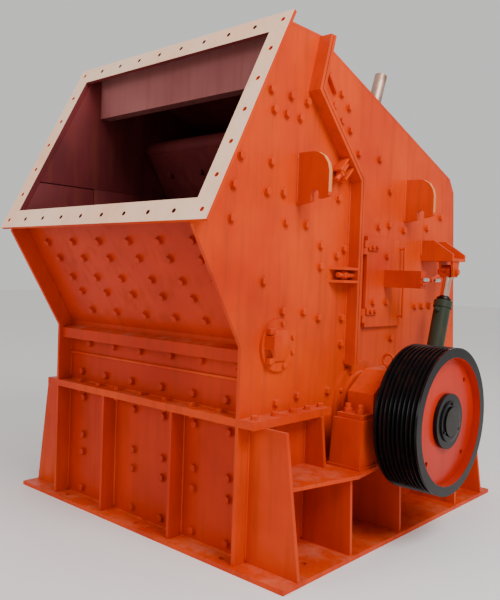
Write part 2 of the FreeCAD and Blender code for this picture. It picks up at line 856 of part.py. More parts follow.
def rear_flanges():
    subpart("rear_base_flange", plate("rear_base_flange_body", "XY_Plane",
                                      back_flange_outline(MOVING_WALL, BACK_STRIP_FRONT),
                                      "flange_plate", at=("0", "0", MOVING_FLOOR)))
    pair("rear_split_flanges", split_flange("rear_split", MOVING_WALL, "-moving_gap",
                                            "-moving_gap - flange_plate"))


def hinge_ears():
    """Two cheeks and a pin on the lower frame at each hinge, and the rear housing's lug."""
    side = "hinge_lug_thick / 2 + hinge_side_gap"
    reach = "hinge_pin_radius * 2.2"
    low = FLANGE_BOTTOM
    ear_outline = [
        (BACK_PANEL, f"{low} - 220"),
        ("frame_back", f"{low} - 220"),
        (f"hinge_y + {reach}", "hinge_height - 70"),
        (f"hinge_y + {reach}", "hinge_height + hinge_pin_radius"),
        ("hinge_y + hinge_pin_radius", f"hinge_height + {reach}"),
        ("hinge_y - hinge_pin_radius", f"hinge_height + {reach}"),
        (f"hinge_y - {reach}", "hinge_height + hinge_pin_radius"),
        (f"hinge_y - {reach}", low),
        (BACK_PANEL, low),
    ]
    pieces = []
    for name, start in (("inner", f"hinge_x - ({side}) - hinge_cheek_thick"),
                        ("outer", f"hinge_x + {side}")):
        pieces.append(plate(f"ear_{name}", "YZ_Plane", ear_outline, "hinge_cheek_thick",
                            at=(start, "0", "0")))
    pieces.append(cylinder("ear_pin", "hinge_pin_radius", f"2 * ({side} + hinge_cheek_thick)",
                           (f"hinge_x - ({side}) - hinge_cheek_thick", "hinge_y", "hinge_height")))
    pair("rear_hinge_ears", fuse("ear_welded", pieces))

    strip_top = f"{MOVING_FLOOR} + flange_plate"
    lug_outline = [
        back_at(strip_top, "0"),
        back_at(f"{strip_top} + 130", "0"),
        (f"hinge_y - {reach}", f"{strip_top} + 120"),
        (f"hinge_y + {reach} * 0.9", "hinge_height + hinge_pin_radius"),
        (f"hinge_y + {reach} * 0.9", "hinge_height - hinge_pin_radius"),
        ("hinge_y + hinge_pin_radius", f"hinge_height - {reach} * 0.9"),
        ("hinge_y - hinge_pin_radius", f"hinge_height - {reach} * 0.9"),
        (f"hinge_y - {reach} * 0.9", "hinge_height - hinge_pin_radius"),
        (f"hinge_y - {reach} * 0.9", strip_top),
    ]
    lug = plate("lug_plate", "YZ_Plane", lug_outline, "hinge_lug_thick",
                at=("hinge_x - hinge_lug_thick / 2", "0", "0"))
    bore = cylinder("lug_bore", "hinge_pin_radius + running_fit", "hinge_lug_thick * 3",
                    ("hinge_x - hinge_lug_thick * 1.5", "hinge_y", "hinge_height"))
    pair("rear_hinge_lugs", cut("lug_bored", lug, bore))


def impact_apron():
    """The apron that hangs inside the rear housing, with its pivot tube."""
    pivot = ("apron_pivot_y", "apron_pivot_height")
    far = move(pivot, "apron_heading", "apron_length")
    half = "apron_thick / 2"
    outline = [
        move(pivot, "apron_heading - 90", half),
        move(far, "apron_heading - 90", half),
        move(far, "apron_heading + 90", half),
        move(pivot, "apron_heading + 90", half),
    ]
    slab = plate("apron_slab", "YZ_Plane", outline, f"2 * {APRON_HALF_WIDTH}",
                 at=(f"-{APRON_HALF_WIDTH}", "0", "0"))
    inside = f"({MOVING_WALL} - wall_plate)"
    tube = cylinder("apron_tube", "apron_pivot_radius", f"2 * {inside}",
                    (f"-{inside}", *pivot))
    boss_end = "tie_rod_below_roof + tie_rod_boss_length"
    bosses = [
        along_tie_rod(f"apron_boss_{name}", "tie_rod_boss_radius", boss_end, "tie_rod_boss_length", side)
        for name, side in (("right", "1"), ("left", "-1"))
    ]
    subpart("impact_apron", fuse("apron_welded", [slab, tube, *bosses]))


def tie_rods():
    """The rods that set the apron's gap, normal to the roof, with a collar on the roof."""
    rod = along_tie_rod("tie_rod_bar", "tie_rod_radius", "tie_rod_below_roof",
                        "tie_rod_below_roof + tie_rod_above_roof")
    collar = along_tie_rod("tie_rod_collar", "tie_rod_collar_radius", "0", "tie_rod_collar_height")
    pair("apron_tie_rods", fuse("tie_rod_whole", [rod, collar]))


# ---------------------------------------------------------------- access doors

def door_pin(name, radius, bottom, height):
    at = (f"{MOVING_WALL} + door_pin_stand_off", "door_pin_y", bottom)
    return cylinder(name, radius, height, at, axis="Z")


def access_doors():
    """A door outside each rear side wall, its two hinge blocks and its screw clamp."""
    block_heights = {
        "low": ("door_bottom + door_knuckle_inset - door_knuckle_height - 1",
                "door_bottom + door_knuckle_inset"),
        "high": ("door_bottom + door_height - door_knuckle_inset + 1",
                 "door_bottom + door_height - door_knuckle_inset - door_knuckle_height"),
    }
    blocks = []
    door_pieces = [box("door_sheet", ("wall_outside", "door_plate"), ("door_front", "door_length"),
                       ("door_bottom", "door_height"))]
    bores = []
    for name, (block_bottom, knuckle_bottom) in block_heights.items():
        block = box(f"door_block_{name}", (MOVING_WALL, "door_pin_stand_off + door_knuckle_radius"),
                    ("door_pin_y - door_knuckle_radius", "2 * door_knuckle_radius"),
                    (block_bottom, "door_knuckle_height"))
        lowest = block_bottom if name == "low" else knuckle_bottom
        pin = door_pin(f"door_pin_{name}", "door_pin_radius", lowest, "2 * door_knuckle_height + 1")
        blocks.append(fuse(f"door_hinge_{name}", [block, pin]))
        knuckle = door_pin(f"door_knuckle_{name}", "door_knuckle_radius", knuckle_bottom,
                           "door_knuckle_height")
        tab = box(f"door_tab_{name}", ("wall_outside + door_plate / 2", "door_plate / 2"),
                  ("door_pin_y", "door_front - door_pin_y"), (knuckle_bottom, "door_knuckle_height"))
        door_pieces += [knuckle, tab]
        bores.append(door_pin(f"door_bore_{name}", "door_pin_radius + running_fit",
                              knuckle_bottom, "door_knuckle_height"))
    bar_x = "wall_outside + door_plate + door_bar_stand_off"
    door_pieces.append(cylinder("door_bar", "door_handle_radius", "door_bar_height",
                                (bar_x, "door_bar_y", "door_bar_bottom"), axis="Z"))
    for name, height in (("low", "door_bar_bottom + door_bar_end_inset"),
                         ("high", "door_bar_bottom + door_bar_height - door_bar_end_inset")):
        door_pieces.append(cylinder(f"door_bar_end_{name}", "door_bar_end_radius", "door_bar_stand_off",
                                    ("wall_outside + door_plate", "door_bar_y", height)))
    both_sides("access_door", cut("door_bored", fuse("door_whole", door_pieces), fuse("door_bores", bores)))
    mirror_blocks = [mirrored(f"door_hinge_mirror_{end}", block)
                     for end, block in zip(("low", "high"), blocks)]
    subpart("door_hinges", group("door_hinge_sides", blocks + mirror_blocks))

    start = "wall_outside + door_plate"
    bottom = "door_arm_middle - door_arm_height / 2"
    web = box("arm_web", (start, "door_arm_reach"), ("door_arm_y", "door_arm_plate"),
              (bottom, "door_arm_height"))
    low = box("arm_low", (start, "door_arm_reach"), ("door_arm_y", "door_arm_depth"),
              (bottom, "door_arm_plate"))
    high = box("arm_high", (start, "door_arm_reach"), ("door_arm_y", "door_arm_depth"),
               (f"{bottom} + door_arm_height - door_arm_plate", "door_arm_plate"))
    middle_y = "door_arm_y + door_arm_depth / 2"
    nut = box("arm_end", (f"{start} + door_arm_reach - 2 * door_arm_plate", "2 * door_arm_plate"),
              ("door_arm_y", "door_arm_depth"), (bottom, "door_arm_height"))
    screw = cylinder("arm_screw", "door_screw_radius", "door_arm_reach + 60",
                     (start, middle_y, "door_arm_middle"))
    handle = doc.addObject("Part::Cylinder", "arm_handle")
    bind(handle, Radius="door_handle_radius", Height="door_handle_length")
    place(handle, f"{start} + door_arm_reach + 45", f"{middle_y} - door_handle_length / 2 * sin(75)",
          "door_arm_middle - door_handle_length / 2 * cos(75)", turn="-75")
    both_sides("door_clamp", fuse("door_clamp_welded", [web, low, high, nut, screw, handle]))


# ---------------------------------------------------------------- opening cylinders

LEAN = "atan2(head_pin_y - foot_pin_y; head_pin_height - foot_pin_height)"
PIN_DISTANCE = "sqrt((head_pin_y - foot_pin_y) ^ 2 + (head_pin_height - foot_pin_height) ^ 2)"


def pin_cheeks(name, outline):
    """Two cheeks beside a cylinder's eye and the pin that they hold."""
    side = "eye_half_thick + moving_gap"
    pieces = []
    starts = (("inner", f"{CYLINDER_X} - ({side}) - cheek_thick"), ("outer", f"{CYLINDER_X} + {side}"))
    for suffix, start in starts:
        pieces.append(plate(f"{name}_{suffix}", "YZ_Plane", outline, "cheek_thick", at=(start, "0", "0")))
    return pieces


def cheek_pin(name, y, z):
    side = "eye_half_thick + moving_gap + cheek_thick"
    return cylinder(name, "cylinder_pin_radius", f"2 * ({side})", (f"{CYLINDER_X} - ({side})", y, z))


def cylinder_brackets():
    foot_outline = [
        ("foot_pin_y - 55", "shelf_top"),
        ("foot_pin_y + 55", "shelf_top"),
        ("foot_pin_y + 30", "foot_pin_height + 32"),
        ("foot_pin_y - 30", "foot_pin_height + 32"),
    ]
    foot = pin_cheeks("foot_cheek", foot_outline)
    foot.append(cheek_pin("foot_pin", "foot_pin_y", "foot_pin_height"))
    pair("cylinder_feet", fuse("foot_welded", foot))

    bracket_top = "bracket_bottom + bracket_plate"
    head_outline = [
        ("head_pin_y - 32", "head_pin_height - 34"),
        ("head_pin_y + 32", "head_pin_height - 34"),
        ("head_pin_y + 50", "bracket_bottom"),
        ("head_pin_y - 50", "bracket_bottom"),
    ]
    pieces = pin_cheeks("head_cheek", head_outline)
    pieces.append(cheek_pin("head_pin", "head_pin_y", "head_pin_height"))
    pieces.append(box("bracket_floor", (MOVING_WALL, "bracket_reach"), ("bracket_front", "bracket_length"),
                      ("bracket_bottom", "bracket_plate")))
    gusset_outline = [
        (MOVING_WALL, bracket_top),
        (f"{MOVING_WALL} + bracket_reach", bracket_top),
        (f"{MOVING_WALL} + bracket_reach", f"{bracket_top} + 25"),
        (f"{MOVING_WALL} + bracket_reach * 0.4", "bracket_bottom + bracket_height"),
        (MOVING_WALL, "bracket_bottom + bracket_height"),
    ]
    for name, start in (("front", "bracket_front"), ("back", "bracket_front + bracket_length - wall_plate")):
        pieces.append(plate(f"bracket_gusset_{name}", "XZ_Plane", gusset_outline, "wall_plate",
                            at=("0", start, "0")))
    pair("cylinder_brackets", fuse("bracket_welded", pieces))


def local_cylinder(name, radius, start, length):
    """A cylinder along a ram's own axis, which starts at the foot pin."""
    item = doc.addObject("Part::Cylinder", name)
    bind(item, Radius=radius, Height=length)
    return place(item, "0", "0", start)


def local_eye(name, radius, height, margin="0"):
    length = f"2 * (eye_half_thick + {margin})"
    return cylinder(name, radius, length, (f"-(eye_half_thick + {margin})", "0", height))


def opening_cylinders():
    tube = fuse("barrel_whole", [
        local_eye("barrel_eye", "barrel_eye_radius", "0"),
        local_cylinder("barrel_neck", "barrel_neck_radius", "barrel_eye_radius / 2", "barrel_start"),
        local_cylinder("barrel_tube", "barrel_radius", "barrel_start", "barrel_length"),
        local_cylinder("barrel_head", "barrel_head_radius",
                       "barrel_start + barrel_length - barrel_head_length", "barrel_head_length"),
    ])
    bores = fuse("barrel_bores", [
        local_eye("barrel_eye_bore", "cylinder_pin_radius + running_fit", "0", "5"),
        local_cylinder("barrel_rod_bore", "rod_radius + running_fit", "rod_start - 10", "barrel_length"),
    ])
    barrel = cut("barrel_bored", tube, bores)
    place(barrel, CYLINDER_X, "foot_pin_y", "foot_pin_height", turn=f"-{LEAN}")
    both_sides("cylinder_barrel", barrel)

    bar = fuse("rod_whole", [
        local_cylinder("rod_bar", "rod_radius", "rod_start",
                       f"{PIN_DISTANCE} - rod_start - rod_eye_radius * 0.8"),
        local_eye("rod_eye", "rod_eye_radius", PIN_DISTANCE),
    ])
    eye_bore = local_eye("rod_eye_bore", "cylinder_pin_radius + rod_eye_clearance", PIN_DISTANCE, "5")
    rod = cut("rod_bored", bar, eye_bore)
    place(rod, CYLINDER_X, "foot_pin_y", "foot_pin_height", turn=f"-{LEAN}")
    both_sides("cylinder_rod", rod)


# ---------------------------------------------------------------- rotor

def revolved(name, outline):
    """A ring turned about the shaft: the outline is given along X and by radius."""
    body = doc.addObject("PartDesign::Body", name)
    sketch = body.newObject("Sketcher::SketchObject", f"{name}_sketch")
    origin_plane = next(item for item in body.Origin.OriginFeatures if item.Role == "XY_Plane")
    sketch.AttachmentSupport = [(origin_plane, "")]
    sketch.MapMode = "FlatFace"
    count = len(outline)
    for index in range(count):
        angle = 2 * math.pi * index / count
        following = 2 * math.pi * (index + 1) / count
        start = FreeCAD.Vector(100 * math.cos(angle), 200 + 100 * math.sin(angle), 0)
        end = FreeCAD.Vector(100 * math.cos(following), 200 + 100 * math.sin(following), 0)
        sketch.addGeometry(Part.LineSegment(start, end), False)
    for index in range(count):
        sketch.addConstraint(Sketcher.Constraint("Coincident", index, 2, (index + 1) % count, 1))
    for index, (along, radius) in enumerate(outline):
        for kind, formula in (("DistanceX", along), ("DistanceY", radius)):
            number = sketch.addConstraint(Sketcher.Constraint(kind, -1, 1, index, 1, 1.0))
            sketch.setExpression(f"Constraints[{number}]", bound(formula))
    turn = body.newObject("PartDesign::Revolution", f"{name}_turn")
    turn.Profile = sketch
    turn.ReferenceAxis = (sketch, ["H_Axis"])
    turn.Angle = 360
    return place(body, "0", "shaft_y", "shaft_height")


def rotor():
    shaft = cylinder("shaft_bar", "shaft_radius", "shaft_left_end + pulley_outside",
                     ("-shaft_left_end", "shaft_y", "shaft_height"))
    subpart("rotor_shaft", shaft)

    bars = []
    for number in range(BLOW_BARS):
        bar = doc.addObject("Part::Box", f"blow_bar_{'abcd'[number]}")
        bind(bar, Length=f"2 * {ROTOR_HALF_LENGTH}", Width="blow_bar_thick", Height="blow_bar_depth")
        turn = 360 / BLOW_BARS * (number + 0.5)
        across = "-blow_bar_thick / 2"
        up = "(blow_bar_radius - blow_bar_depth)"
        place(bar, f"-{ROTOR_HALF_LENGTH}",
              f"shaft_y + ({across}) * cos({turn}) - {up} * sin({turn})",
              f"shaft_height + ({across}) * sin({turn}) + {up} * cos({turn})", turn=str(turn))
        bars.append(bar)
    blow_bars = subpart("blow_bars", group("blow_bar_set", bars))

    pieces = [cylinder("rotor_core", "rotor_core_radius", f"2 * {ROTOR_HALF_LENGTH}",
                       (f"-{ROTOR_HALF_LENGTH}", "shaft_y", "shaft_height"))]
    for number in range(ROTOR_DISCS):
        share = 2 * number / (ROTOR_DISCS - 1) - 1
        middle = f"({ROTOR_HALF_LENGTH} - rotor_disc_thick / 2) * {share:.9f}"
        pieces.append(cylinder(f"rotor_disc_{'abcd'[number]}", "rotor_disc_radius", "rotor_disc_thick",
                               (f"{middle} - rotor_disc_thick / 2", "shaft_y", "shaft_height")))
    bore = shaft_bore("rotor_bore", f"-{ROTOR_HALF_LENGTH} - 10", f"2 * {ROTOR_HALF_LENGTH} + 20")
    slotted = cut("rotor_slotted", fuse("rotor_discs", pieces), blow_bars)
    subpart("rotor_body", cut("rotor_bored", slotted, bore))


def pulley():
    width = f"({GROOVES} * groove_pitch + 2 * rim_edge)"
    inner_face = f"pulley_outside - {width}"
    rim = [(inner_face, "rim_inside_radius"), (inner_face, "pulley_radius")]
    for number in range(GROOVES):
        middle = f"{inner_face} + rim_edge + groove_pitch * {number + 0.5}"
        rim += [
            (f"{middle} - groove_top / 2", "pulley_radius"),
            (f"{middle} - groove_bottom / 2", "pulley_radius - groove_depth"),
            (f"{middle} + groove_bottom / 2", "pulley_radius - groove_depth"),
            (f"{middle} + groove_top / 2", "pulley_radius"),
        ]
    rim += [("pulley_outside", "pulley_radius"), ("pulley_outside", "rim_inside_radius")]
    subpart("pulley_rim", revolved("rim", rim))

    web_start = "pulley_outside - web_recess - web_thick"
    web = cylinder("web_plate", "rim_inside_radius", "web_thick", (web_start, "shaft_y", "shaft_height"))
    tools = [cylinder("web_bore", "hub_radius", "web_thick + 20",
                      (f"{web_start} - 10", "shaft_y", "shaft_height"))]
    for number in range(4):
        angle = 45 + 90 * number
        tools.append(cylinder(f"web_hole_{'abcd'[number]}", "web_hole_radius", "web_thick + 20",
                              (f"{web_start} - 10", f"shaft_y + web_hole_circle * cos({angle})",
                               f"shaft_height + web_hole_circle * sin({angle})")))
    subpart("pulley_web", cut("web_cut", web, fuse("web_cuts", tools)))

    hub_end = "pulley_outside - hub_recess"
    hub = cylinder("hub_block", "hub_radius", "hub_length",
                   (f"{hub_end} - hub_length", "shaft_y", "shaft_height"))
    bore = shaft_bore("hub_bore", f"{hub_end} - hub_length - 10", "hub_length + 20")
    subpart("pulley_hub", cut("hub_bored", hub, bore))


base_plate()
lower_walls()
lower_panel("lower_front_panel", FRONT_PANEL, "-frame_front")
lower_panel("lower_back_panel", f"{BACK_PANEL} - wall_plate", BACK_PANEL)
lower_flange()
side_supports()
pedestals()
bearing_caps()
shaft_seals()
feed_walls()
feed_panels()
feed_roof()
feed_flange()
feed_base_flange()
feed_split_flanges()
pair("feed_lifting_hooks", lifting_hook("feed_hook", "wall_outside", "hook_front_y"))
side_covers()
rear_walls()
rear_roof()
rear_flanges()
pair("rear_lifting_hooks", lifting_hook("rear_hook", MOVING_WALL, "hook_back_y"))
hinge_ears()
impact_apron()
tie_rods()
access_doors()
cylinder_brackets()
opening_cylinders()
rotor()
pulley()
doc.recompute()

for item in doc.Objects:
    if "Invalid" in item.State or "Error" in item.State:
        raise RuntimeError(f"{item.Name} did not build: {item.State}")
for item in subparts:
    if item.Shape.isNull() or not item.Shape.isValid():
        raise RuntimeError(f"{item.Label} has no valid shape")
os.makedirs("parts", exist_ok=True)
for item in subparts:
    item.Shape.exportStep(f"parts/{item.Label}.step")
    solids = item.Shape.Solids
    volume = sum(solid.Volume for solid in solids) / 1e9
    print(f"{item.Label}: {len(solids)} solids, {volume:.4f} cubic metres")
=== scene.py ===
# %% [markdown]
# # An impact crusher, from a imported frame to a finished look
# The frame holds every plate, shaft and hinge at its true size.
# This lesson adds what a bare solid lacks: paint with wear, bolts, weld beads, handles and liners.

# %% Load the frame
import math

import bpy
from mathutils import Matrix, Vector


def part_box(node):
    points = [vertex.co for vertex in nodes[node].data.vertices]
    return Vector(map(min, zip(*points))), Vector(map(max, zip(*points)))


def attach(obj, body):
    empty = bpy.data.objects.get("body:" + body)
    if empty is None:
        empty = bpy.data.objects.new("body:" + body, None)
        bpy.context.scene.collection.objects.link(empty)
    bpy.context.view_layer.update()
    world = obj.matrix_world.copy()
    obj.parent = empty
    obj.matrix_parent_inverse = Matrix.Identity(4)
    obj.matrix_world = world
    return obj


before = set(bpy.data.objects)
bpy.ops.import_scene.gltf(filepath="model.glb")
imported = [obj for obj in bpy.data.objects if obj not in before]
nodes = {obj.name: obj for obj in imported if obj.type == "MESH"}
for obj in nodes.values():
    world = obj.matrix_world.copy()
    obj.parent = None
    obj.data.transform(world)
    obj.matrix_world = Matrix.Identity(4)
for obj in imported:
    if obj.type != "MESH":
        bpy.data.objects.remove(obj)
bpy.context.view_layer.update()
print("CAD nodes:", len(nodes))

# %% [markdown]
# ## Key places
# Sizes are metres. They are read off the frame's own boxes, so a piece lands where the plate is.
# `wall` is the outer face of the fixed side walls, `moving_wall` that of the hinged rear housing.

# %% Key places
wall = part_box("lower_side_wall_right")[1].x
moving_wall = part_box("rear_side_wall_right")[1].x
plate = 0.020
panel_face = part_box("feed_lower_panel")[0].y
flange_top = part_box("feed_base_flange")[1].z
flange_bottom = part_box("lower_flange")[0].z
base_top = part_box("base_plate")[1].z
shelf_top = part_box("bearing_shelf_right")[1].z
shaft_y = (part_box("rotor_shaft")[0].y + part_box("rotor_shaft")[1].y) / 2
shaft_z = (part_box("rotor_shaft")[0].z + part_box("rotor_shaft")[1].z) / 2
knee = Vector((0, -1.105, 1.100))
SLOPE = math.radians(121)
MOUTH = math.radians(62.5)
ROOF = math.radians(-19.4)
BACK = math.radians(-84.8)
slope_run = Vector((0, math.cos(SLOPE), math.sin(SLOPE)))
slope_out = Vector((0, -math.sin(SLOPE), math.cos(SLOPE)))
mouth_run = Vector((0, math.cos(MOUTH), math.sin(MOUTH)))
mouth_out = Vector((0, -math.sin(MOUTH), math.cos(MOUTH)))
SLOPE_LENGTH = 0.686
mouth_low = knee + slope_run * SLOPE_LENGTH
print("walls at", round(wall, 3), "and", round(moving_wall, 3))
print("shaft at", round(shaft_y, 3), round(shaft_z, 3))

# %% [markdown]
# ## Two small helpers for materials
# Paint charts give colours as sRGB hex, and shaders want linear light, so one function converts.
# The other adds a shader node with its settings and links in one call.

# %% Colour and node helpers
def linear(hex_colour):
    """An sRGB hex colour as linear red, green, blue and alpha."""
    channels = [int(hex_colour[i:i + 2], 16) / 255 for i in (1, 3, 5)]
    return tuple(c / 12.92 if c <= 0.04045 else ((c + 0.055) / 1.055) ** 2.4 for c in channels) + (1.0,)


def add(tree, kind, inputs=None, **settings):
    """Adds a shader node, with its settings, and a value or a link for each input named."""
    node = tree.nodes.new(kind)
    for name, value in settings.items():
        setattr(node, name, value)
    for socket, value in (inputs or {}).items():
        if isinstance(value, bpy.types.NodeSocket):
            tree.links.new(value, node.inputs[socket])
        else:
            node.inputs[socket].default_value = value
    return node


print("orange as linear light:", [round(c, 3) for c in linear("#D9480C")[:3]])

# %% [markdown]
# ## Sprayed enamel on plate steel
# The housing is hot-rolled plate, shot-blasted and sprayed with alkyd enamel.
# A paint is listed here by its fresh tone, the tone it drifts to, its rubbed high spots and its roughness.

# %% Coats
COATS = {
    # each coat: fresh tone, drifted tone, rubbed tone, roughness
    "orange": ("#D84200", "#C02C00", "#DC5E1C", 0.42),
    # a deeper orange for faces turned away from the key light: painted shade
    "painted_shade_orange": ("#C22E00", "#AC2200", "#C84A1C", 0.42),
    "oxide": ("#74292C", "#581C20", "#86443E", 0.60),
    "pale_oxide": ("#A05E5C", "#8C4A48", "#B0746C", 0.58),
    "worn": ("#E8965E", "#D47A40", "#F0B080", 0.50),
    "primer": ("#FFD6B8", "#FFC6A0", "#FFE6D4", 0.50),
    "black": ("#141416", "#0C0C0E", "#3A3230", 0.20),
    "red": ("#C4260A", "#A81C06", "#D4543A", 0.28),
    "green": ("#3A4232", "#2A3026", "#5C6350", 0.36),
}


def coat_tones(tree, coat, drift, rub):
    """The colour of one coat: its two tones mixed by the drift, and rubbed high spots."""
    fresh, drifted, rubbed, _ = COATS[coat]
    base = add(tree, "ShaderNodeMix", {0: drift, 6: linear(fresh), 7: linear(drifted)}, data_type="RGBA")
    worn = add(tree, "ShaderNodeMix", {0: rub, 6: base.outputs[2], 7: linear(rubbed)}, data_type="RGBA")
    return worn.outputs[2]


print("coats:", ", ".join(COATS))

# %% [markdown]
# ## What lies on a coat
# Dull dust runs down in streaks and lies on faces that look up, and a few chips show dark plate.
# The enamel has an orange-peel skin with dimples 3 mm across, on plates that aren't quite flat.

# %% Dust, chips and orange peel
def weathered(tree, place, colour, spots, dust, settled):
    """A coat's colour under dust and chips, and how grimy it is."""
    # dust runs down in streaks 50 mm wide and 0.5 m long
    streaks = add(tree, "ShaderNodeMapping", {"Vector": place, "Scale": (20.0, 20.0, 2.0)})
    runs = add(tree, "ShaderNodeTexNoise", {"Vector": streaks.outputs[0], "Scale": 1.0, "Detail": 4.0})
    grime = add(tree, "ShaderNodeMapRange", {0: runs.outputs[0], 1: 0.48, 2: 0.80, 4: dust})
    dusty = add(tree, "ShaderNodeMix", {0: grime.outputs[0], 6: colour, 7: linear("#7A3A22")},
                data_type="RGBA")
    # stone dust lies in patches about 170 mm across where a face looks up
    heading = add(tree, "ShaderNodeSeparateXYZ", {0: add(tree, "ShaderNodeNewGeometry").outputs["Normal"]})
    level = add(tree, "ShaderNodeMapRange", {0: heading.outputs["Z"], 1: 0.80, 2: 0.97, 4: settled})
    drifts = add(tree, "ShaderNodeTexNoise",
                 {"Vector": place, "Scale": 6.0, "Detail": 8.0, "Roughness": 0.7})
    patch = add(tree, "ShaderNodeMapRange", {0: drifts.outputs[0], 1: 0.44, 2: 0.74})
    lying = add(tree, "ShaderNodeMath", {0: level.outputs[0], 1: patch.outputs[0]}, operation="MULTIPLY")
    dusty = add(tree, "ShaderNodeMix", {0: lying.outputs[0], 6: dusty.outputs[2], 7: linear("#D9A487")},
                data_type="RGBA")
    # chips a few millimetres wide show the dark plate
    cells = add(tree, "ShaderNodeTexVoronoi", {"Vector": place, "Scale": 38.0, "Randomness": 1.0})
    chips = add(tree, "ShaderNodeMapRange", {0: cells.outputs["Distance"], 1: 0.045, 2: 0.03, 4: 0.8})
    sparse = add(tree, "ShaderNodeMapRange", {0: spots, 1: 0.56, 2: 0.6})
    chipped = add(tree, "ShaderNodeMath", {0: chips.outputs[0], 1: sparse.outputs[0]}, operation="MULTIPLY")
    final = add(tree, "ShaderNodeMix", {0: chipped.outputs[0], 6: dusty.outputs[2], 7: linear("#4A2018")},
                data_type="RGBA")
    return final.outputs[2], grime.outputs[0]


def orange_peel(tree, place, peel):
    """The normal of a sprayed skin: dimples 3 mm apart, on plates that roll in long shallow waves."""
    dimples = add(tree, "ShaderNodeTexNoise", {"Vector": place, "Scale": 330.0, "Detail": 1.0})
    buckle = add(tree, "ShaderNodeTexNoise", {"Vector": place, "Scale": 3.2, "Detail": 1.0})
    wave = add(tree, "ShaderNodeBump", {"Height": buckle.outputs[0], "Strength": 0.35, "Distance": 0.012})
    skin = add(tree, "ShaderNodeBump", {"Height": dimples.outputs[0], "Strength": peel, "Distance": 0.0006,
                                        "Normal": wave.outputs[0]})
    return skin.outputs[0]


print("dust, chips and orange peel ready")

# %% [markdown]
# ## One sprayed material, with several coats
# Inside, the plates only have red-oxide primer, so one material holds two or three coats.
# Half-spaces on Object coordinates say where each further coat lies. They move with the piece.

# %% Sprayed material
def sprayed(name, outer, others=(), dust=0.35, peel=0.10, settled=0.32):
    """Sprayed paint. Behind all of a group's planes (normal, distance), that group's coat shows instead."""
    material = bpy.data.materials.new(name)
    material.use_nodes = True
    tree = material.node_tree
    shader = tree.nodes["Principled BSDF"]
    place = add(tree, "ShaderNodeTexCoord").outputs["Object"]
    # tone drifts over about 0.6 m, as a spray gun's overlapping passes do
    clouds = add(tree, "ShaderNodeTexNoise",
                 {"Vector": place, "Scale": 1.7, "Detail": 3.0, "Roughness": 0.55})
    drift = add(tree, "ShaderNodeMapRange", {0: clouds.outputs[0], 1: 0.35, 2: 0.68})
    # rubbed spots about 40 mm across, with ragged edges
    spots = add(tree, "ShaderNodeTexNoise",
                {"Vector": place, "Scale": 24.0, "Detail": 7.0, "Roughness": 0.7})
    rub = add(tree, "ShaderNodeMapRange", {0: spots.outputs[0], 1: 0.66, 2: 0.74, 4: 0.55})
    colour = coat_tones(tree, outer, drift.outputs[0], rub.outputs[0])
    roughness = add(tree, "ShaderNodeValue").outputs[0]
    roughness.default_value = COATS[outer][3]
    for coat, planes in others:
        mask = None
        for normal, distance in planes:
            along = add(tree, "ShaderNodeVectorMath", {0: place, 1: normal}, operation="DOT_PRODUCT")
            under = add(tree, "ShaderNodeMath", {0: along.outputs["Value"], 1: distance},
                        operation="LESS_THAN").outputs[0]
            if mask is None:
                mask = under
            else:
                mask = add(tree, "ShaderNodeMath", {0: mask, 1: under}, operation="MULTIPLY").outputs[0]
        second = coat_tones(tree, coat, drift.outputs[0], rub.outputs[0])
        colour = add(tree, "ShaderNodeMix", {0: mask, 6: colour, 7: second}, data_type="RGBA").outputs[2]
        roughness = add(tree, "ShaderNodeMapRange", {0: mask, 3: roughness, 4: COATS[coat][3]}).outputs[0]
    colour, grime = weathered(tree, place, colour, spots.outputs[0], dust, settled)
    dull = add(tree, "ShaderNodeMath", {0: grime, 1: 0.6, 2: roughness}, operation="MULTIPLY_ADD")
    tree.links.new(colour, shader.inputs["Base Color"])
    tree.links.new(dull.outputs[0], shader.inputs["Roughness"])
    tree.links.new(orange_peel(tree, place, peel), shader.inputs["Normal"])
    shader.inputs["Specular IOR Level"].default_value = 0.16
    return material


enamel = sprayed("sprayed_orange_enamel", "orange")
print("first paint:", enamel.name)

# %% [markdown]
# ## Paints for this machine
# The walls and panels are enamelled outside and primed inside. A wall's inner face is primed only behind
# the panels; in front of them it is enamelled. The feed flange keeps its pale primer for the gasket.
# The panels at the feed end face away from the light, so their enamel is a deeper orange: painted shade.

# %% Paints
SLOPE_RECESS = 0.092
KNEE_HEIGHT = 1.126
BACK_PANEL_INSIDE = 1.008
# a second coat's plane lies this far under the face that it starts at
skin = 0.001
slope_face = knee - slope_out * SLOPE_RECESS


def between(half_width):
    """The two planes that leave the strip inside a pair of side walls."""
    return [((1, 0, 0), half_width), ((-1, 0, 0), half_width)]


def facing(normal, point, depth=0.0):
    """The half-space behind a plane that lies a given depth under a point."""
    return tuple(normal), point.dot(normal) - depth


gap = between(wall - plate + skin)
over_knee = [*gap, facing(slope_out, slope_face, plate), ((0, 0, -1), -KNEE_HEIGHT)]
under_knee = [*gap, ((0, -1, 0), -panel_face - plate), ((0, 1, 0), BACK_PANEL_INSIDE),
              ((0, 0, 1), KNEE_HEIGHT)]
wall_paint = sprayed("wall_enamel_over_oxide", "orange", [("oxide", over_knee), ("oxide", under_knee)])
# the edges that meet the feed housing at the split are primed as well
split_edge = [*between(moving_wall - 0.002), ((0, 1, 0), 0.2)]
moving_wall_paint = sprayed("rear_wall_enamel_over_oxide", "orange",
                            [("oxide", between(moving_wall - plate + skin)), ("oxide", split_edge)])
# the feed-end panels take the deeper orange as painted shade, with oxide primer inside
panel_paint = sprayed("panel_painted_shade_enamel_over_oxide", "painted_shade_orange",
                      [("oxide", [((0, -1, 0), -panel_face - plate + skin)])])
slope_paint = sprayed("slope_painted_shade_enamel_over_oxide", "painted_shade_orange",
                      [("oxide", [facing(slope_out, slope_face, plate - skin)])])
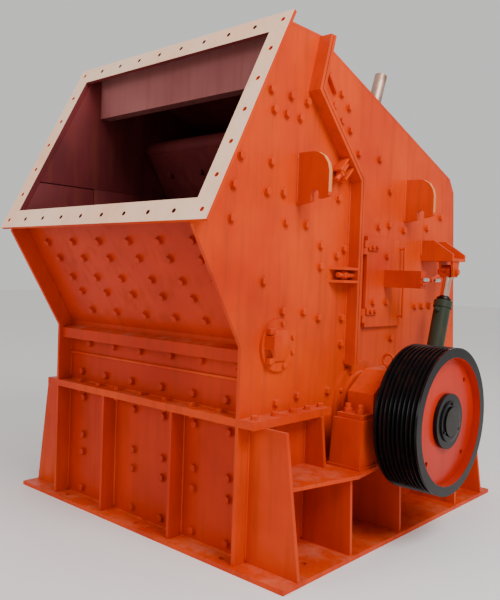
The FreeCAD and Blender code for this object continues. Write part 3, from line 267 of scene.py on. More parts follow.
# the same painted shade as a plain material, for the knee beam and the front bolts
painted_shade_orange = sprayed("painted_shade_orange_enamel", "painted_shade_orange")
oxide = sprayed("red_oxide_primer", "oxide", dust=0.5, peel=0.2)
# a paler oxide than the rest of the inside, on the feed beam
beam_oxide = sprayed("pale_oxide_primer", "pale_oxide", dust=0.3, peel=0.2)
# the flange's face is primer, and behind it enamel, or oxide where it lines the mouth
LIP_LOW, LIP_HIGH = 0.011, 1.195
under_face = facing(mouth_out, mouth_low, skin)
mouth_lip = [under_face, *gap, facing(-mouth_run, mouth_low + mouth_run * LIP_LOW),
             facing(mouth_run, mouth_low + mouth_run * LIP_HIGH)]
flange_paint = sprayed("flange_primer_over_enamel", "primer",
                       [("orange", [under_face]), ("oxide", mouth_lip)], dust=0.12)
pulley_black = sprayed("black_gloss_enamel", "black", dust=0.10, settled=0.1)
pulley_red = sprayed("red_gloss_enamel", "red", dust=0.15, settled=0.1)
barrel_green = sprayed("green_cylinder_enamel", "green", dust=0.2)
print("paints:", len(bpy.data.materials))

# %% [markdown]
# ## The rear housing's inner coat
# The roof, the corner and the back wall are folded from one 16 mm sheet.
# Each has its own plane, and the oxide lies behind both planes of the folded back sheet.

# %% Rear sheets
BACK_HEIGHT = 2.090
CORNER_LENGTH = 0.116
back_top = Vector((0, 1.094, BACK_HEIGHT))
CORNER = math.radians(-53)
roof_back = back_top - Vector((0, math.cos(CORNER), math.sin(CORNER))) * CORNER_LENGTH
sheet = 0.016


def outward(heading):
    """The normal to the left of a heading in the Y-Z plane."""
    return Vector((0, -math.sin(heading), math.cos(heading)))


def behind(point, heading):
    """The half-space under a sheet's inner face, as a normal and a distance."""
    normal = outward(heading)
    return tuple(normal), point.dot(normal) - sheet + skin


roof_paint = sprayed("roof_enamel_over_oxide", "orange", [("oxide", [behind(roof_back, ROOF)])])
back_paint = sprayed("back_enamel_over_oxide", "orange",
                     [("oxide", [behind(back_top, CORNER), behind(back_top, BACK)])])
top_paint = sprayed("feed_roof_enamel_over_oxide", "orange",
                    [("oxide", [((0, 0, 1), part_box("feed_roof")[0].z + skin)])])
print("rear sheets painted on both sides")

# %% [markdown]
# ## Metals
# The blow bars are cast manganese steel, dark and pitted. The shaft and hub are turned steel
# with a film of oil. The cylinder rod is hard chrome tinted orange, a painted reflection of the housing
# around it, and the clamp handles are zinc plated. Seal rubber is no metal, but a dull dark skin is made
# the same way.

# %% Metals
def metal(name, tone, drifted, rough, grain, stretch=(1.0, 1.0, 1.0), depth=0.2, metallic=1.0, rust=0.0):
    """Bare metal: two tones, a grain of a given count per metre, and rust where noise is high."""
    material = bpy.data.materials.new(name)
    material.use_nodes = True
    tree = material.node_tree
    shader = tree.nodes["Principled BSDF"]
    place = add(tree, "ShaderNodeTexCoord").outputs["Object"]
    turned = add(tree, "ShaderNodeMapping", {"Vector": place, "Scale": stretch})
    fine = add(tree, "ShaderNodeTexNoise", {"Vector": turned.outputs[0], "Scale": grain, "Detail": 5.0})
    slow = add(tree, "ShaderNodeTexNoise", {"Vector": place, "Scale": 9.0, "Detail": 4.0})
    blend = add(tree, "ShaderNodeMapRange", {0: slow.outputs[0], 1: 0.35, 2: 0.65})
    base = add(tree, "ShaderNodeMix", {0: blend.outputs[0], 6: linear(tone), 7: linear(drifted)},
               data_type="RGBA")
    bloom = add(tree, "ShaderNodeMapRange", {0: slow.outputs[0], 1: 0.5, 2: 0.66, 4: rust})
    rusty = add(tree, "ShaderNodeMix", {0: bloom.outputs[0], 6: base.outputs[2], 7: linear("#6B3A22")},
                data_type="RGBA")
    tree.links.new(rusty.outputs[2], shader.inputs["Base Color"])
    shader.inputs["Metallic"].default_value = metallic
    vary = add(tree, "ShaderNodeMapRange", {0: fine.outputs[0], 3: rough * 0.75, 4: rough * 1.3})
    tree.links.new(vary.outputs[0], shader.inputs["Roughness"])
    bump = add(tree, "ShaderNodeBump", {"Height": fine.outputs[0], "Strength": depth, "Distance": 0.001})
    tree.links.new(bump.outputs[0], shader.inputs["Normal"])
    return material


cast = metal("cast_manganese_steel", "#4A4440", "#2E2926", 0.62, 120.0, depth=0.7, rust=0.7)
turned = metal("turned_oiled_steel", "#3A3634", "#262322", 0.34, 60.0, (30.0, 1.0, 1.0), rust=0.15)
# an orange tint in the chrome's own colour: a painted reflection of the orange housing
chrome = metal("hard_chrome_painted_reflection", "#DDB5A0", "#CFA38C", 0.12, 200.0, (1.0, 1.0, 8.0), depth=0.05)
zinc = metal("zinc_plated_steel", "#D2CEC6", "#B4AEA4", 0.30, 150.0, depth=0.1)
thread = metal("weathered_screwed_rod", "#C9A694", "#A88674", 0.45, 90.0, (1.0, 1.0, 12.0), depth=0.5,
               rust=0.5)
rubber = metal("seal_rubber", "#1A1816", "#121010", 0.7, 300.0, metallic=0.0)
print("metals ready")

# %% [markdown]
# ## Paint the CAD nodes
# A CAD node keeps its mesh, and only gets a material. What isn't listed is orange enamel.

# %% Paint the nodes
FINISH = {
    "feed_flange": flange_paint, "feed_slope_panel": slope_paint, "feed_lower_panel": panel_paint,
    # the knee beam takes the deeper orange: painted shade
    "lower_front_panel": panel_paint, "feed_beam": beam_oxide, "knee_beam": painted_shade_orange,
    "impact_apron": oxide, "feed_roof": top_paint,
    "rear_roof": roof_paint, "rear_back_wall": back_paint, "blow_bars": cast, "rotor_body": cast,
    "rotor_shaft": turned, "apron_tie_rods": thread, "pulley_hub": pulley_black,
    "pulley_rim": pulley_black, "pulley_web": pulley_red,
}
for label in ("right", "left"):
    FINISH.update({f"cylinder_barrel_{label}": barrel_green, f"cylinder_rod_{label}": chrome,
                   f"feed_side_wall_{label}": wall_paint, f"lower_side_wall_{label}": wall_paint,
                   f"rear_side_wall_{label}": moving_wall_paint})
for name, node in nodes.items():
    node.data.materials.clear()
    node.data.materials.append(FINISH.get(name, enamel))
print("painted:", len(nodes), "nodes, of which", len(FINISH), "aren't plain orange")

# %% [markdown]
# ## How pieces are shaped
# Each piece starts as a primitive at its size and place, is worked in edit mode or with a modifier,
# and ends with its place in its mesh. Everything is deselected first, because operators act on all
# that is selected. Sheared and sawn steel has broken edges, so each piece gets a small bevel.

# %% Bars and blocks
def clear():
    """Leaves edit mode and selects nothing."""
    if bpy.context.mode != "OBJECT":
        bpy.ops.object.mode_set(mode="OBJECT")
    bpy.ops.object.select_all(action="DESELECT")


def fix(piece):
    """Puts the piece's place into its mesh."""
    clear()
    piece.select_set(True)
    bpy.context.view_layer.objects.active = piece
    bpy.ops.object.transform_apply(location=True, rotation=True, scale=True)


def soften(piece, width, segments=2):
    """Rounds every sharp edge by a small radius and shades by angle."""
    fix(piece)
    bevel = piece.modifiers.new("edge", "BEVEL")
    bevel.width = width
    bevel.segments = segments
    bevel.limit_method = "ANGLE"
    bpy.ops.object.modifier_apply(modifier=bevel.name)
    bpy.ops.object.shade_smooth_by_angle(angle=math.radians(35))
    return piece


def block(low, high, edge=0.002):
    """A bar or plate between two corners, with broken edges."""
    clear()
    low, high = Vector(low), Vector(high)
    bpy.ops.mesh.primitive_cube_add(size=1, location=(low + high) / 2, scale=high - low)
    return soften(bpy.context.object, edge)


def aim(direction):
    """The turn that takes +Z to a direction."""
    return Vector(direction).normalized().to_track_quat("Z", "Y").to_euler()


def round_bar(start, end, radius, sides=24, edge=0.0015):
    """A round bar between two points, with broken edges."""
    clear()
    start, end = Vector(start), Vector(end)
    bpy.ops.mesh.primitive_cylinder_add(vertices=sides, radius=radius, depth=(end - start).length,
                                        location=(start + end) / 2, rotation=aim(end - start))
    return soften(bpy.context.object, edge)


print("bars and blocks ready")

# %% [markdown]
# ## How pieces are put together
# Small shapes are joined into one piece, which gets its name and its coat and rides on its body.
# What repeats is shaped once. Each copy has its own mesh, with its place in it.
# The machine is the same on both sides, so places are listed once and mirrored.

# %% Joining and copying
def join(pieces, name):
    """Makes one piece of several."""
    clear()
    for piece in pieces:
        piece.select_set(True)
    bpy.context.view_layer.objects.active = pieces[0]
    if len(pieces) > 1:
        bpy.ops.object.join()
    whole = bpy.context.object
    whole.name = name
    whole.data.name = name
    return whole


def hang(piece, name, body, material):
    """Names a finished piece, coats it, and lets it move with its body."""
    piece.name = name
    piece.data.name = name
    piece.data.materials.clear()
    piece.data.materials.append(material)
    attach(piece, body)
    return piece


def copies(master, places):
    """One copy of the master, with its own mesh, for each (point, direction, size)."""
    made = []
    for point, direction, size in places:
        copy = master.copy()
        copy.data = master.data.copy()
        bpy.context.collection.objects.link(copy)
        turn = aim(direction).to_matrix().to_4x4()
        copy.data.transform(Matrix.Translation(point) @ turn @ Matrix.Scale(size, 4))
        made.append(copy)
    return made


def both_sides(points):
    """The points and their mirror images across the machine's middle."""
    return [Vector(p) for p in points] + [Vector((-p[0], p[1], p[2])) for p in points]


def turned_about(centre, radius, angles):
    """Points on a circle about an axis along X, at angles in degrees from +Y."""
    centre = Vector(centre)
    turns = [math.radians(angle) for angle in angles]
    return [centre + Vector((0, radius * math.cos(turn), radius * math.sin(turn))) for turn in turns]


def sideways(points, size):
    """Bolt places on both sides of the machine, with the heads facing out."""
    return [(p, (math.copysign(1, p.x), 0, 0), size) for p in both_sides(points)]


print("helpers ready")

# %% [markdown]
# ## Hexagon bolts
# The wear plates inside are held by M24 bolts, whose heads and washers dot the outside.
# One bolt is shaped: a six-sided cylinder whose top edge is chamfered, on a round washer.
# It is then copied to each place. A head is 37 mm across its flats and 18 mm high.

# %% Shape one bolt
def make_bolt():
    """A chamfered hexagon head on a washer, standing on the origin along Z."""
    clear()
    bpy.ops.mesh.primitive_cylinder_add(vertices=6, radius=0.0214, depth=0.0155, location=(0, 0, 0.01175))
    head = bpy.context.object
    fix(head)
    bpy.ops.object.mode_set(mode="EDIT")
    bpy.ops.mesh.select_mode(type="FACE")
    bpy.ops.mesh.select_all(action="DESELECT")
    bpy.ops.object.mode_set(mode="OBJECT")
    for face in head.data.polygons:
        face.select = face.normal.z > 0.9
    bpy.ops.object.mode_set(mode="EDIT")
    bpy.ops.mesh.inset(thickness=0.0035)
    bpy.ops.transform.translate(value=(0, 0, 0.0022))
    bpy.ops.object.mode_set(mode="OBJECT")
    clear()
    bpy.ops.mesh.primitive_cylinder_add(vertices=16, radius=0.0245, depth=0.004, location=(0, 0, 0.002))
    washer = soften(bpy.context.object, 0.0008, 1)
    return join([head, washer], "bolt_master")


bolt = make_bolt()
print("one bolt has", len(bolt.data.polygons), "faces")

# %% [markdown]
# ## Bolts on the fixed housing
# The slanted panel has five staggered rows. The panels below have rows of their own,
# and the side walls have a scatter that follows the liners behind them.

# %% Bolts on the fixed housing
front = Vector((0, -1, 0))
SLOPE_ROWS = [
    (0.538, (-0.604, -0.351, -0.105, 0.156, 0.399, 0.643)),
    (0.433, (-0.560, -0.318, -0.075, 0.180, 0.422, 0.655)),
    (0.306, (-0.520, -0.279, -0.047, 0.209, 0.448, 0.680)),
    (0.205, (-0.495, -0.253, -0.011, 0.240, 0.480)),
    (0.075, (-0.480, -0.241, 0.024, 0.273, 0.505)),
]
spots = []
for run, columns in SLOPE_ROWS:
    spots += [(slope_face + slope_run * run + Vector((x, 0, 0)), slope_out, 1.0) for x in columns]
for height, columns in ((0.995, (-0.564, -0.321, -0.075, 0.192, 0.434, 0.690)),
                        (0.812, (-0.638, -0.396, -0.144, 0.123, 0.378, 0.624))):
    spots += [(Vector((x, panel_face, height)), front, 1.0) for x in columns]
for x in (-0.610, -0.370, -0.110, 0.147, 0.400, 0.655):
    spots += [(Vector((x, panel_face, height)), front, 1.0) for height in (0.650, 0.415, 0.306, 0.078)]
back_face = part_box("lower_back_panel")[0].y + plate
for x in (-0.640, -0.400, -0.130, 0.130, 0.400, 0.640):
    spots += [(Vector((x, back_face, height)), -front, 1.0) for height in (0.620, 0.360, 0.110)]
# the front bolts take the deeper orange: painted shade
hang(join(copies(bolt, spots), "front_bolts"), "front_bolts", "frame", painted_shade_orange)

FEED_WALL = [
    (-0.950, 2.371), (-0.793, 2.372), (-0.923, 2.279), (-0.824, 2.276), (-0.713, 2.276), (-0.660, 2.368),
    (-1.154, 2.016), (-0.930, 2.018), (-1.198, 1.874), (-0.955, 1.869), (-0.828, 1.876), (-1.206, 1.716),
    (-0.801, 1.728), (-0.629, 1.728), (-0.330, 2.003), (-0.343, 1.899), (-0.494, 1.628), (-0.492, 1.513),
    (-0.341, 1.580), (-0.270, 1.621), (-0.961, 1.424), (-0.803, 1.273), (-0.628, 1.267), (-0.492, 1.233),
    (-0.270, 1.228), (-0.270, 1.081), (-0.659, 0.822), (-0.833, 0.804), (-0.380, 0.820),
]
spots = sideways([(wall, y, z) for y, z in FEED_WALL], 1.0)
hang(join(copies(bolt, spots), "side_bolts"), "side_bolts", "frame", enamel)
print("fixed housing bolts:", len(spots))

# %% [markdown]
# ## Bolts of the joint between the lower frame and the housings
# Heads stand on the upper flange and nuts under the lower one, in a row along the feed end
# and in a row along each side.

# %% Joint bolts
up = Vector((0, 0, 1))
front_line = [(x, -1.052, flange_top) for x in (-0.610, -0.418, -0.235, -0.021, 0.191, 0.405, 0.610)]
arm_line = [(0.842, y, flange_top) for y in (-1.045, -0.889, -0.745, -0.621, -0.505)]
spots = [(Vector(p), up, 0.9) for p in front_line] + [(p, up, 0.9) for p in both_sides(arm_line)]
# the front corners stand on gussets, so no nut fits under them
nuts = [p for p, _, _ in spots if abs(p[0]) < 0.8 or p[1] > -1.0]
spots += [(Vector((p[0], p[1], flange_bottom)), -up, 0.9) for p in nuts]
hang(join(copies(bolt, spots), "joint_bolts"), "joint_bolts", "frame", enamel)
print("joint bolts:", len(spots))

# %% [markdown]
# ## Bolts of the rear housing
# The rear housing's liners are bolted through its walls, back and roof. The flange at its foot
# lifts with it, so that flange has heads only, which ride with the housing.

# %% Rear bolts
REAR_WALL = [
    (-0.343, 2.480), (-0.412, 2.400), (-0.265, 2.420), (-0.334, 2.330), (-0.244, 2.296), (-0.149, 2.179),
    (0.082, 2.180), (0.215, 2.005), (0.098, 1.774), (0.220, 1.795), (0.402, 1.775), (0.709, 1.811),
    (0.589, 1.287), (0.681, 1.287), (0.789, 1.286), (0.292, 1.089), (0.900, 1.900), (0.950, 1.120),
]
spots = sideways([(moving_wall, y, z) for y, z in REAR_WALL], 1.0)
rear_flange_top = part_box("rear_base_flange")[1].z
rear_line = [(0.840, y, rear_flange_top) for y in (0.400, 0.560, 0.720, 0.880, 1.040, 1.200)]
spots += [(p, up, 0.9) for p in both_sides(rear_line)]
back_run = Vector((0, math.cos(BACK), math.sin(BACK)))
for height in (0.900, 1.200, 1.500, 1.800):
    back_at = back_top + back_run * ((BACK_HEIGHT - height) / math.sin(-BACK))
    spots += [(back_at + Vector((x, 0, 0)), outward(BACK), 1.0) for x in (-0.600, -0.200, 0.200, 0.600)]
ROOF_LENGTH = 1.642
roof_run = Vector((0, math.cos(ROOF), math.sin(ROOF)))
for run in (0.500, 0.900, 1.300):
    on_roof = roof_back - roof_run * (ROOF_LENGTH - run)
    spots += [(on_roof + Vector((x, 0, 0)), outward(ROOF), 1.0) for x in (-0.450, -0.150, 0.150, 0.450)]
hang(join(copies(bolt, spots), "rear_bolts"), "rear_bolts", "rear_housing", enamel)
print("rear housing bolts:", len(spots))

# %% [markdown]
# ## Weld beads
# Plates of 20 mm are joined by fillet welds about 14 mm wide. A bead starts as a long thin cylinder,
# is cut into rings about 30 mm apart, and its points are nudged a little, as a hand-laid bead wanders.

# %% Shape the beads
def bead(start, end, seed, radius=0.007):
    """One weld bead between two points."""
    start, end = Vector(start), Vector(end)
    length = (end - start).length
    clear()
    bpy.ops.mesh.primitive_cylinder_add(vertices=6, radius=radius, depth=length,
                                        location=(start + end) / 2, rotation=aim(end - start))
    piece = bpy.context.object
    fix(piece)
    bpy.ops.object.mode_set(mode="EDIT")
    bpy.ops.mesh.select_mode(type="EDGE")
    bpy.ops.mesh.select_all(action="DESELECT")
    bpy.ops.object.mode_set(mode="OBJECT")
    points = piece.data.vertices
    for edge in piece.data.edges:
        a, b = edge.vertices
        edge.select = (points[a].co - points[b].co).length > length * 0.9
    bpy.ops.object.mode_set(mode="EDIT")
    bpy.ops.mesh.subdivide(number_cuts=max(2, int(length / 0.03)))
    bpy.ops.mesh.select_all(action="SELECT")
    bpy.ops.transform.vertex_random(offset=0.0012, seed=seed)
    bpy.ops.object.mode_set(mode="OBJECT")
    bpy.ops.object.shade_smooth()
    return piece


def beads(lines, name, body, material=enamel):
    """One piece of beads, each with its own wander."""
    made = [bead(start, end, number + 1) for number, (start, end) in enumerate(lines)]
    hang(join(made, name), name, body, material)
    return len(made)


def mirrored_lines(lines):
    """The lines and their mirror images across the machine's middle."""
    flip = [((-a[0], a[1], a[2]), (-b[0], b[1], b[2])) for a, b in lines]
    return lines + flip


print("beads ready")

# %% [markdown]
# ## Beads on the frame and the feed housing
# They run where ribs, gussets, hooks and flanges meet their plates. A line is two points, and each is
# mirrored to the other side.

# %% Frame beads
inside = wall - plate
low, high = base_top + 0.003, flange_bottom - 0.003
fixed_lines = [((0.288, panel_face, low), (0.288, panel_face, high)),
               ((0.312, panel_face, low), (0.312, panel_face, high)),
               ((inside, panel_face, low), (inside, panel_face, high)),
               ((inside, panel_face, flange_top), (inside, panel_face, 1.014)),
               ((0.012, panel_face, base_top), (inside, panel_face, base_top))]
for y in (-1.022, -0.998, -0.572, -0.548, 0.998, 1.022):
    fixed_lines.append(((wall, y, low), (wall, y, shelf_top - 0.02)))
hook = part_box("feed_lifting_hooks")
for y in (hook[0].y, hook[1].y):
    fixed_lines.append(((wall, y, hook[0].z), (wall, y, hook[1].z)))
split_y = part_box("feed_side_wall_right")[1].y
# the split rises from its foot to a bend, and then leans forward at 45 degrees
SPLIT_FOOT, SPLIT_BEND, SPLIT_RISE = 0.962, 2.015, 0.420
split_low = Vector((wall, split_y - plate, SPLIT_BEND))
split_high = split_low + Vector((0, -SPLIT_RISE, SPLIT_RISE))
fixed_lines += [((wall, split_y - plate, SPLIT_FOOT), split_low), (split_low, split_high)]
mouth_edge = mouth_low - mouth_out * plate
mouth_end = mouth_edge + mouth_run * 1.19
fixed_lines.append(((wall, mouth_edge.y, mouth_edge.z), (wall, mouth_end.y, mouth_end.z)))
fixed_lines.append(((inside, panel_face, flange_top + 0.002), (0.010, panel_face, flange_top + 0.002)))
print("fixed beads:", beads(mirrored_lines(fixed_lines), "fixed_beads", "frame"))

# %% [markdown]
# ## Beads on the rear housing
# The hooks, the split flange, the foot flange and the cylinder brackets are welded to its walls.

# %% Rear beads
moving_lines = []
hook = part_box("rear_lifting_hooks")
for y in (hook[0].y, hook[1].y):
    moving_lines.append(((moving_wall, y, hook[0].z), (moving_wall, y, hook[1].z)))
rear_split = Vector((moving_wall, split_y + 0.025, SPLIT_BEND))
moving_lines += [((moving_wall, rear_split.y, SPLIT_FOOT), rear_split),
                 (rear_split, rear_split + Vector((0, -SPLIT_RISE, SPLIT_RISE))),
                 ((moving_wall, 0.360, rear_flange_top), (moving_wall, 1.205, rear_flange_top))]
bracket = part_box("cylinder_brackets")
for y in (bracket[0].y, bracket[1].y):
    moving_lines.append(((moving_wall, y, 1.612), (moving_wall, y, bracket[1].z)))
print("rear beads:", beads(mirrored_lines(moving_lines), "rear_beads", "rear_housing"))

# %% [markdown]
# ## The ledge under the knee
# A bar of 12 by 14 mm runs across the lower panel, under the knee beam, and stiffens it.

# %% Ledge
ledge = block((-inside, panel_face - 0.012, 0.917), (inside, panel_face, 0.931), 0.003)
hang(ledge, "panel_ledge", "frame", enamel)

# %% [markdown]
# ## The lock bolt in the pocket of the split flange
# A swing bolt with a nut holds the two housings together. It lies in a slot between two stiffeners.
# A second one sits on the slanted run of the flange, between two lugs.

# %% Lock bolts
CLAMP_RUN = 0.180


def lock_bolt(point, along, name):
    """A threaded rod with a nut and a washer, pointing away from the flange."""
    point, along = Vector(point), Vector(along)
    rod = round_bar(point, point + along * 0.150, 0.015)
    nut = copies(bolt, [(point + along * 0.085, along, 1.15)])[0]
    hang(join([rod, nut], name), name, "frame", enamel)


for side, label in ((1, "right"), (-1, "left")):
    lock_bolt((side * 0.832, split_y - plate, 1.471), (0, -1, 0), f"pocket_bolt_{label}")
    middle = (split_low + split_high) / 2
    run = Vector((0, -1, 1)).normalized()
    back = Vector((0, -1, -1)).normalized()
    lugs = []
    for shift in (-0.034, 0.034):
        clear()
        bpy.ops.mesh.primitive_cube_add(size=1, scale=(0.062, 0.110, 0.014))
        lug = bpy.context.object
        lug.rotation_euler = (math.radians(45), 0, 0)
        seat = Vector((side * (wall + 0.031), middle.y, middle.z))
        lug.location = seat - run * (CLAMP_RUN + shift) + back * 0.055
        lugs.append(soften(lug, 0.003))
    hang(join(lugs, "lugs"), f"clamp_lugs_{label}", "frame", enamel)
    rod_at = Vector((side * (wall + 0.034), middle.y, middle.z)) - run * CLAMP_RUN
    lock_bolt(rod_at, back, f"clamp_bolt_{label}")
print("lock bolts made")

# %% [markdown]
# ## The side cover's screws, and the bearing's fastenings
# Six screws hold each cover, with a six-sided lid on it, and four hold each shaft seal.
# Each bearing cap is held by four 32 mm studs with nuts, and has a grease nipple.

# %% Cover, cap and seal fastenings
COVER_CIRCLE = 0.113
SEAL_CIRCLE = 0.240
cover_y, cover_z, cover_x = -0.835, 1.099, wall + 0.016
spots = turned_about((cover_x, cover_y, cover_z), COVER_CIRCLE, (20, 80, 140, 230, 290, 340))
screws = copies(bolt, sideways(spots, 0.62))
spots = turned_about((wall + plate, shaft_y, shaft_z), SEAL_CIRCLE, (28, 60, 120, 152))
screws += copies(bolt, sideways(spots, 0.55))
lids = []
for side in (1, -1):
    clear()
    bpy.ops.mesh.primitive_cylinder_add(vertices=6, radius=0.092, depth=0.012, rotation=(0, math.pi / 2, 0),
                                        location=(side * (cover_x + 0.006), cover_y, cover_z))
    lids.append(soften(bpy.context.object, 0.002))
    for y, z in ((cover_y - 0.084, cover_z + 0.074), (cover_y - 0.084, cover_z - 0.074)):
        xs = sorted((side * cover_x, side * (cover_x + 0.030)))
        lids.append(block((xs[0], y - 0.020, z - 0.016), (xs[1], y + 0.020, z + 0.016), 0.003))
hang(join(screws + lids, "cover_screws"), "cover_screws", "frame", enamel)

cap_foot = shaft_z + 0.025
STUD_REACH = 0.330
studs = [(x, y, cap_foot) for x in (0.945, 1.025) for y in (shaft_y - STUD_REACH, shaft_y + STUD_REACH)]
nuts = copies(bolt, [(p, up, 1.12) for p in both_sides(studs)])
nuts += [round_bar(p, p + up * 0.048, 0.016, 16) for p in both_sides(studs)]
nipples = []
for side in (1, -1):
    foot = Vector((side * 0.985, shaft_y + 0.060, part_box("bearing_caps")[1].z - 0.095))
    nipples.append(round_bar(foot, foot + up * 0.030, 0.008, 12))
hang(join(nuts + nipples, "cap_studs"), "cap_studs", "frame", enamel)
print("bearing fastenings made")

# %% [markdown]
# ## The pulley's clamping bush
# A tapered bush grips the shaft, and three screws hold it. Only its ring-shaped face shows.
# A disc is inset, its middle is deleted and the two open edges are bridged, which leaves a ring.

# %% Bush
BUSH_RADIUS = 0.112
BUSH_CIRCLE = 0.096
hub_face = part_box("pulley_hub")[1].x
axis = Vector((hub_face, shaft_y, shaft_z))
clear()
bpy.ops.mesh.primitive_cylinder_add(vertices=64, radius=BUSH_RADIUS, depth=0.010,
                                    location=axis + Vector((0.004, 0, 0)), rotation=(0, math.pi / 2, 0))
bush = bpy.context.object
fix(bush)
bpy.ops.object.mode_set(mode="EDIT")
bpy.ops.mesh.select_mode(type="FACE")
bpy.ops.mesh.select_all(action="DESELECT")
bpy.ops.object.mode_set(mode="OBJECT")
for face in bush.data.polygons:
    face.select = abs(face.normal.x) > 0.9
bpy.ops.object.mode_set(mode="EDIT")
bpy.ops.mesh.inset(thickness=0.0305)
bpy.ops.mesh.delete(type="FACE")
bpy.ops.mesh.select_all(action="DESELECT")
bpy.ops.mesh.select_mode(type="EDGE")
bpy.ops.mesh.select_non_manifold()
bpy.ops.mesh.bridge_edge_loops()
bpy.ops.mesh.select_all(action="SELECT")
bpy.ops.mesh.normals_make_consistent(inside=False)
bpy.ops.object.mode_set(mode="OBJECT")
soften(bush, 0.0015)
spots = turned_about(axis + Vector((0.009, 0, 0)), BUSH_CIRCLE, (90, 210, 330))
screws = copies(bolt, [(point, (1, 0, 0), 0.36) for point in spots])
hang(join([bush] + screws, "clamping_bush"), "clamping_bush", "rotor", pulley_black)
print("bush at", [round(v, 3) for v in axis])

# %% [markdown]
# ## The red inside of the pulley's rim
# The rim is black outside and red inside, so a thin red band lines it from the web to the front edge.

# %% Rim band
RIM_BORE = 0.347
web_face, rim_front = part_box("pulley_web")[1].x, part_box("pulley_rim")[1].x
clear()
bpy.ops.mesh.primitive_cylinder_add(vertices=128, radius=RIM_BORE - 0.0004, end_fill_type="NOTHING",
                                    depth=rim_front - web_face - 0.001, rotation=(0, math.pi / 2, 0),
                                    location=((rim_front + web_face) / 2, shaft_y, shaft_z))
band = bpy.context.object
fix(band)
thick = band.modifiers.new("thick", "SOLIDIFY")
thick.thickness = 0.0012
thick.offset = -1.0
bpy.ops.object.modifier_apply(modifier=thick.name)
bpy.ops.object.shade_smooth_by_angle(angle=math.radians(35))
hang(band, "rim_band", "rotor", pulley_red)
print("band from", round(web_face, 3), "to", round(rim_front, 3))

# %% [markdown]
# ## Worn edges of the lifting plates
# Slings rub the enamel off the rounded edge of each lifting plate and show the pale primer.
# Thin strips follow the edge from the outer corner up to the top.

# %% Worn edges
# the plate's size, and its edge as shares of it: across from the outer edge, down from the top
PLATE_REACH, PLATE_HEIGHT = 0.200, 0.270
WORN_EDGE = ((0, 0.78), (0, 0.38), (0.05, 0.24), (0.18, 0.10), (0.36, 0.02), (0.5, 0))
rubbed = sprayed("rubbed_edge_primer", "worn", dust=0.5, settled=0.2)


def worn_edge(points, y0, y1):
    """Strips 1 mm thick along a row of points in the X-Z plane."""
    strips = []
    for (xa, za), (xb, zb) in zip(points, points[1:]):
        clear()
        bpy.ops.mesh.primitive_cube_add(size=1, scale=(math.hypot(xb - xa, zb - za), y1 - y0, 0.001),
                                        location=((xa + xb) / 2, (y0 + y1) / 2, (za + zb) / 2),
                                        rotation=(0, -math.atan2(zb - za, xb - xa), 0))
        strips.append(soften(bpy.context.object, 0.0003, 1))
    return strips


for node, body in (("feed_lifting_hooks", "frame"), ("rear_lifting_hooks", "rear_housing")):
    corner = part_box(node)
    outer, top = corner[1].x, corner[1].z
    edge = [(outer - PLATE_REACH * across, top - PLATE_HEIGHT * down) for across, down in WORN_EDGE]
    strips = worn_edge(edge, corner[0].y + 0.002, corner[1].y - 0.002)
    strips += worn_edge([(-x, z) for x, z in edge], corner[0].y + 0.002, corner[1].y - 0.002)
    hang(join(strips, "worn"), f"worn_edges_{body}", body, rubbed)
print("worn edges laid on both pairs of lifting plates")

# %% [markdown]
# ## Cylinder glands, ports and pin caps
# A gland nut closes each barrel where the rod comes out. Two ports stand on the barrel, plugged here
# because no hose is fitted. A screw with a washer caps each end of the cross pins.

# %% Cylinder fittings
CYLINDER_X = 0.955
PIN_HALF = 0.050
BARREL_LENGTH = 0.840
foot_pin = Vector((0, 0.430, 0.520))
head_pin = Vector((0, 0.725, 1.520))
ram = (head_pin - foot_pin).normalized()
aside = Vector((0, ram.z, -ram.y))
for side, label in ((1, "right"), (-1, "left")):
    base = foot_pin + Vector((side * CYLINDER_X, 0, 0))
    top = base + ram * BARREL_LENGTH
    gland = round_bar(top, top + ram * 0.022, 0.048, 32, 0.003)
    wiper = round_bar(top + ram * 0.022, top + ram * 0.034, 0.0335, 32, 0.002)
    hang(join([gland, wiper], "gland"), f"gland_{label}", f"barrel_{label}", turned)
    ports = []
    for run in (0.110, 0.770):
        at = base + ram * run + aside * -0.050
        ports.append(round_bar(at, at - aside * 0.030, 0.016, 16))
        ports += copies(bolt, [(at - aside * 0.030, -aside, 0.5)])
    hang(join(ports, "ports"), f"ports_{label}", f"barrel_{label}", barrel_green)
    for pin, pin_name, body in ((foot_pin, "foot", "frame"), (head_pin, "head", "rear_housing")):
        ends = [(Vector((side * CYLINDER_X + end * PIN_HALF, pin.y, pin.z)), (end, 0, 0), 1.0)
                for end in (-1, 1)]
        hang(join(copies(bolt, ends), "caps"), f"{pin_name}_pin_caps_{label}", body, enamel)
print("cylinder fittings made")

# %% [markdown]
# ## Hinge pins of the rear housing
# Each hinge pin has a collar and a screw on both ends.

# %% Hinge pin collars
EAR_INSIDE, EAR_OUTSIDE = 0.482, 0.558
hinge = Vector((0, 1.325, 0.732))
collars = []
for x, outwards in ((EAR_INSIDE, -1), (EAR_OUTSIDE, 1)):
    for side in (1, -1):
        out = side * outwards
        face = Vector((side * x, hinge.y, hinge.z))
        collars.append(round_bar(face, face + Vector((out * 0.010, 0, 0)), 0.026, 32))
        collars += copies(bolt, [(face + Vector((out * 0.010, 0, 0)), (out, 0, 0), 0.6)])
hang(join(collars, "hinge_collars"), "hinge_collars", "frame", zinc)
print("hinge at", [round(v, 3) for v in hinge])

# %% [markdown]
# ## A strap by the split flange
# A short plate is welded across the rear wall, near the top of the slanted split.

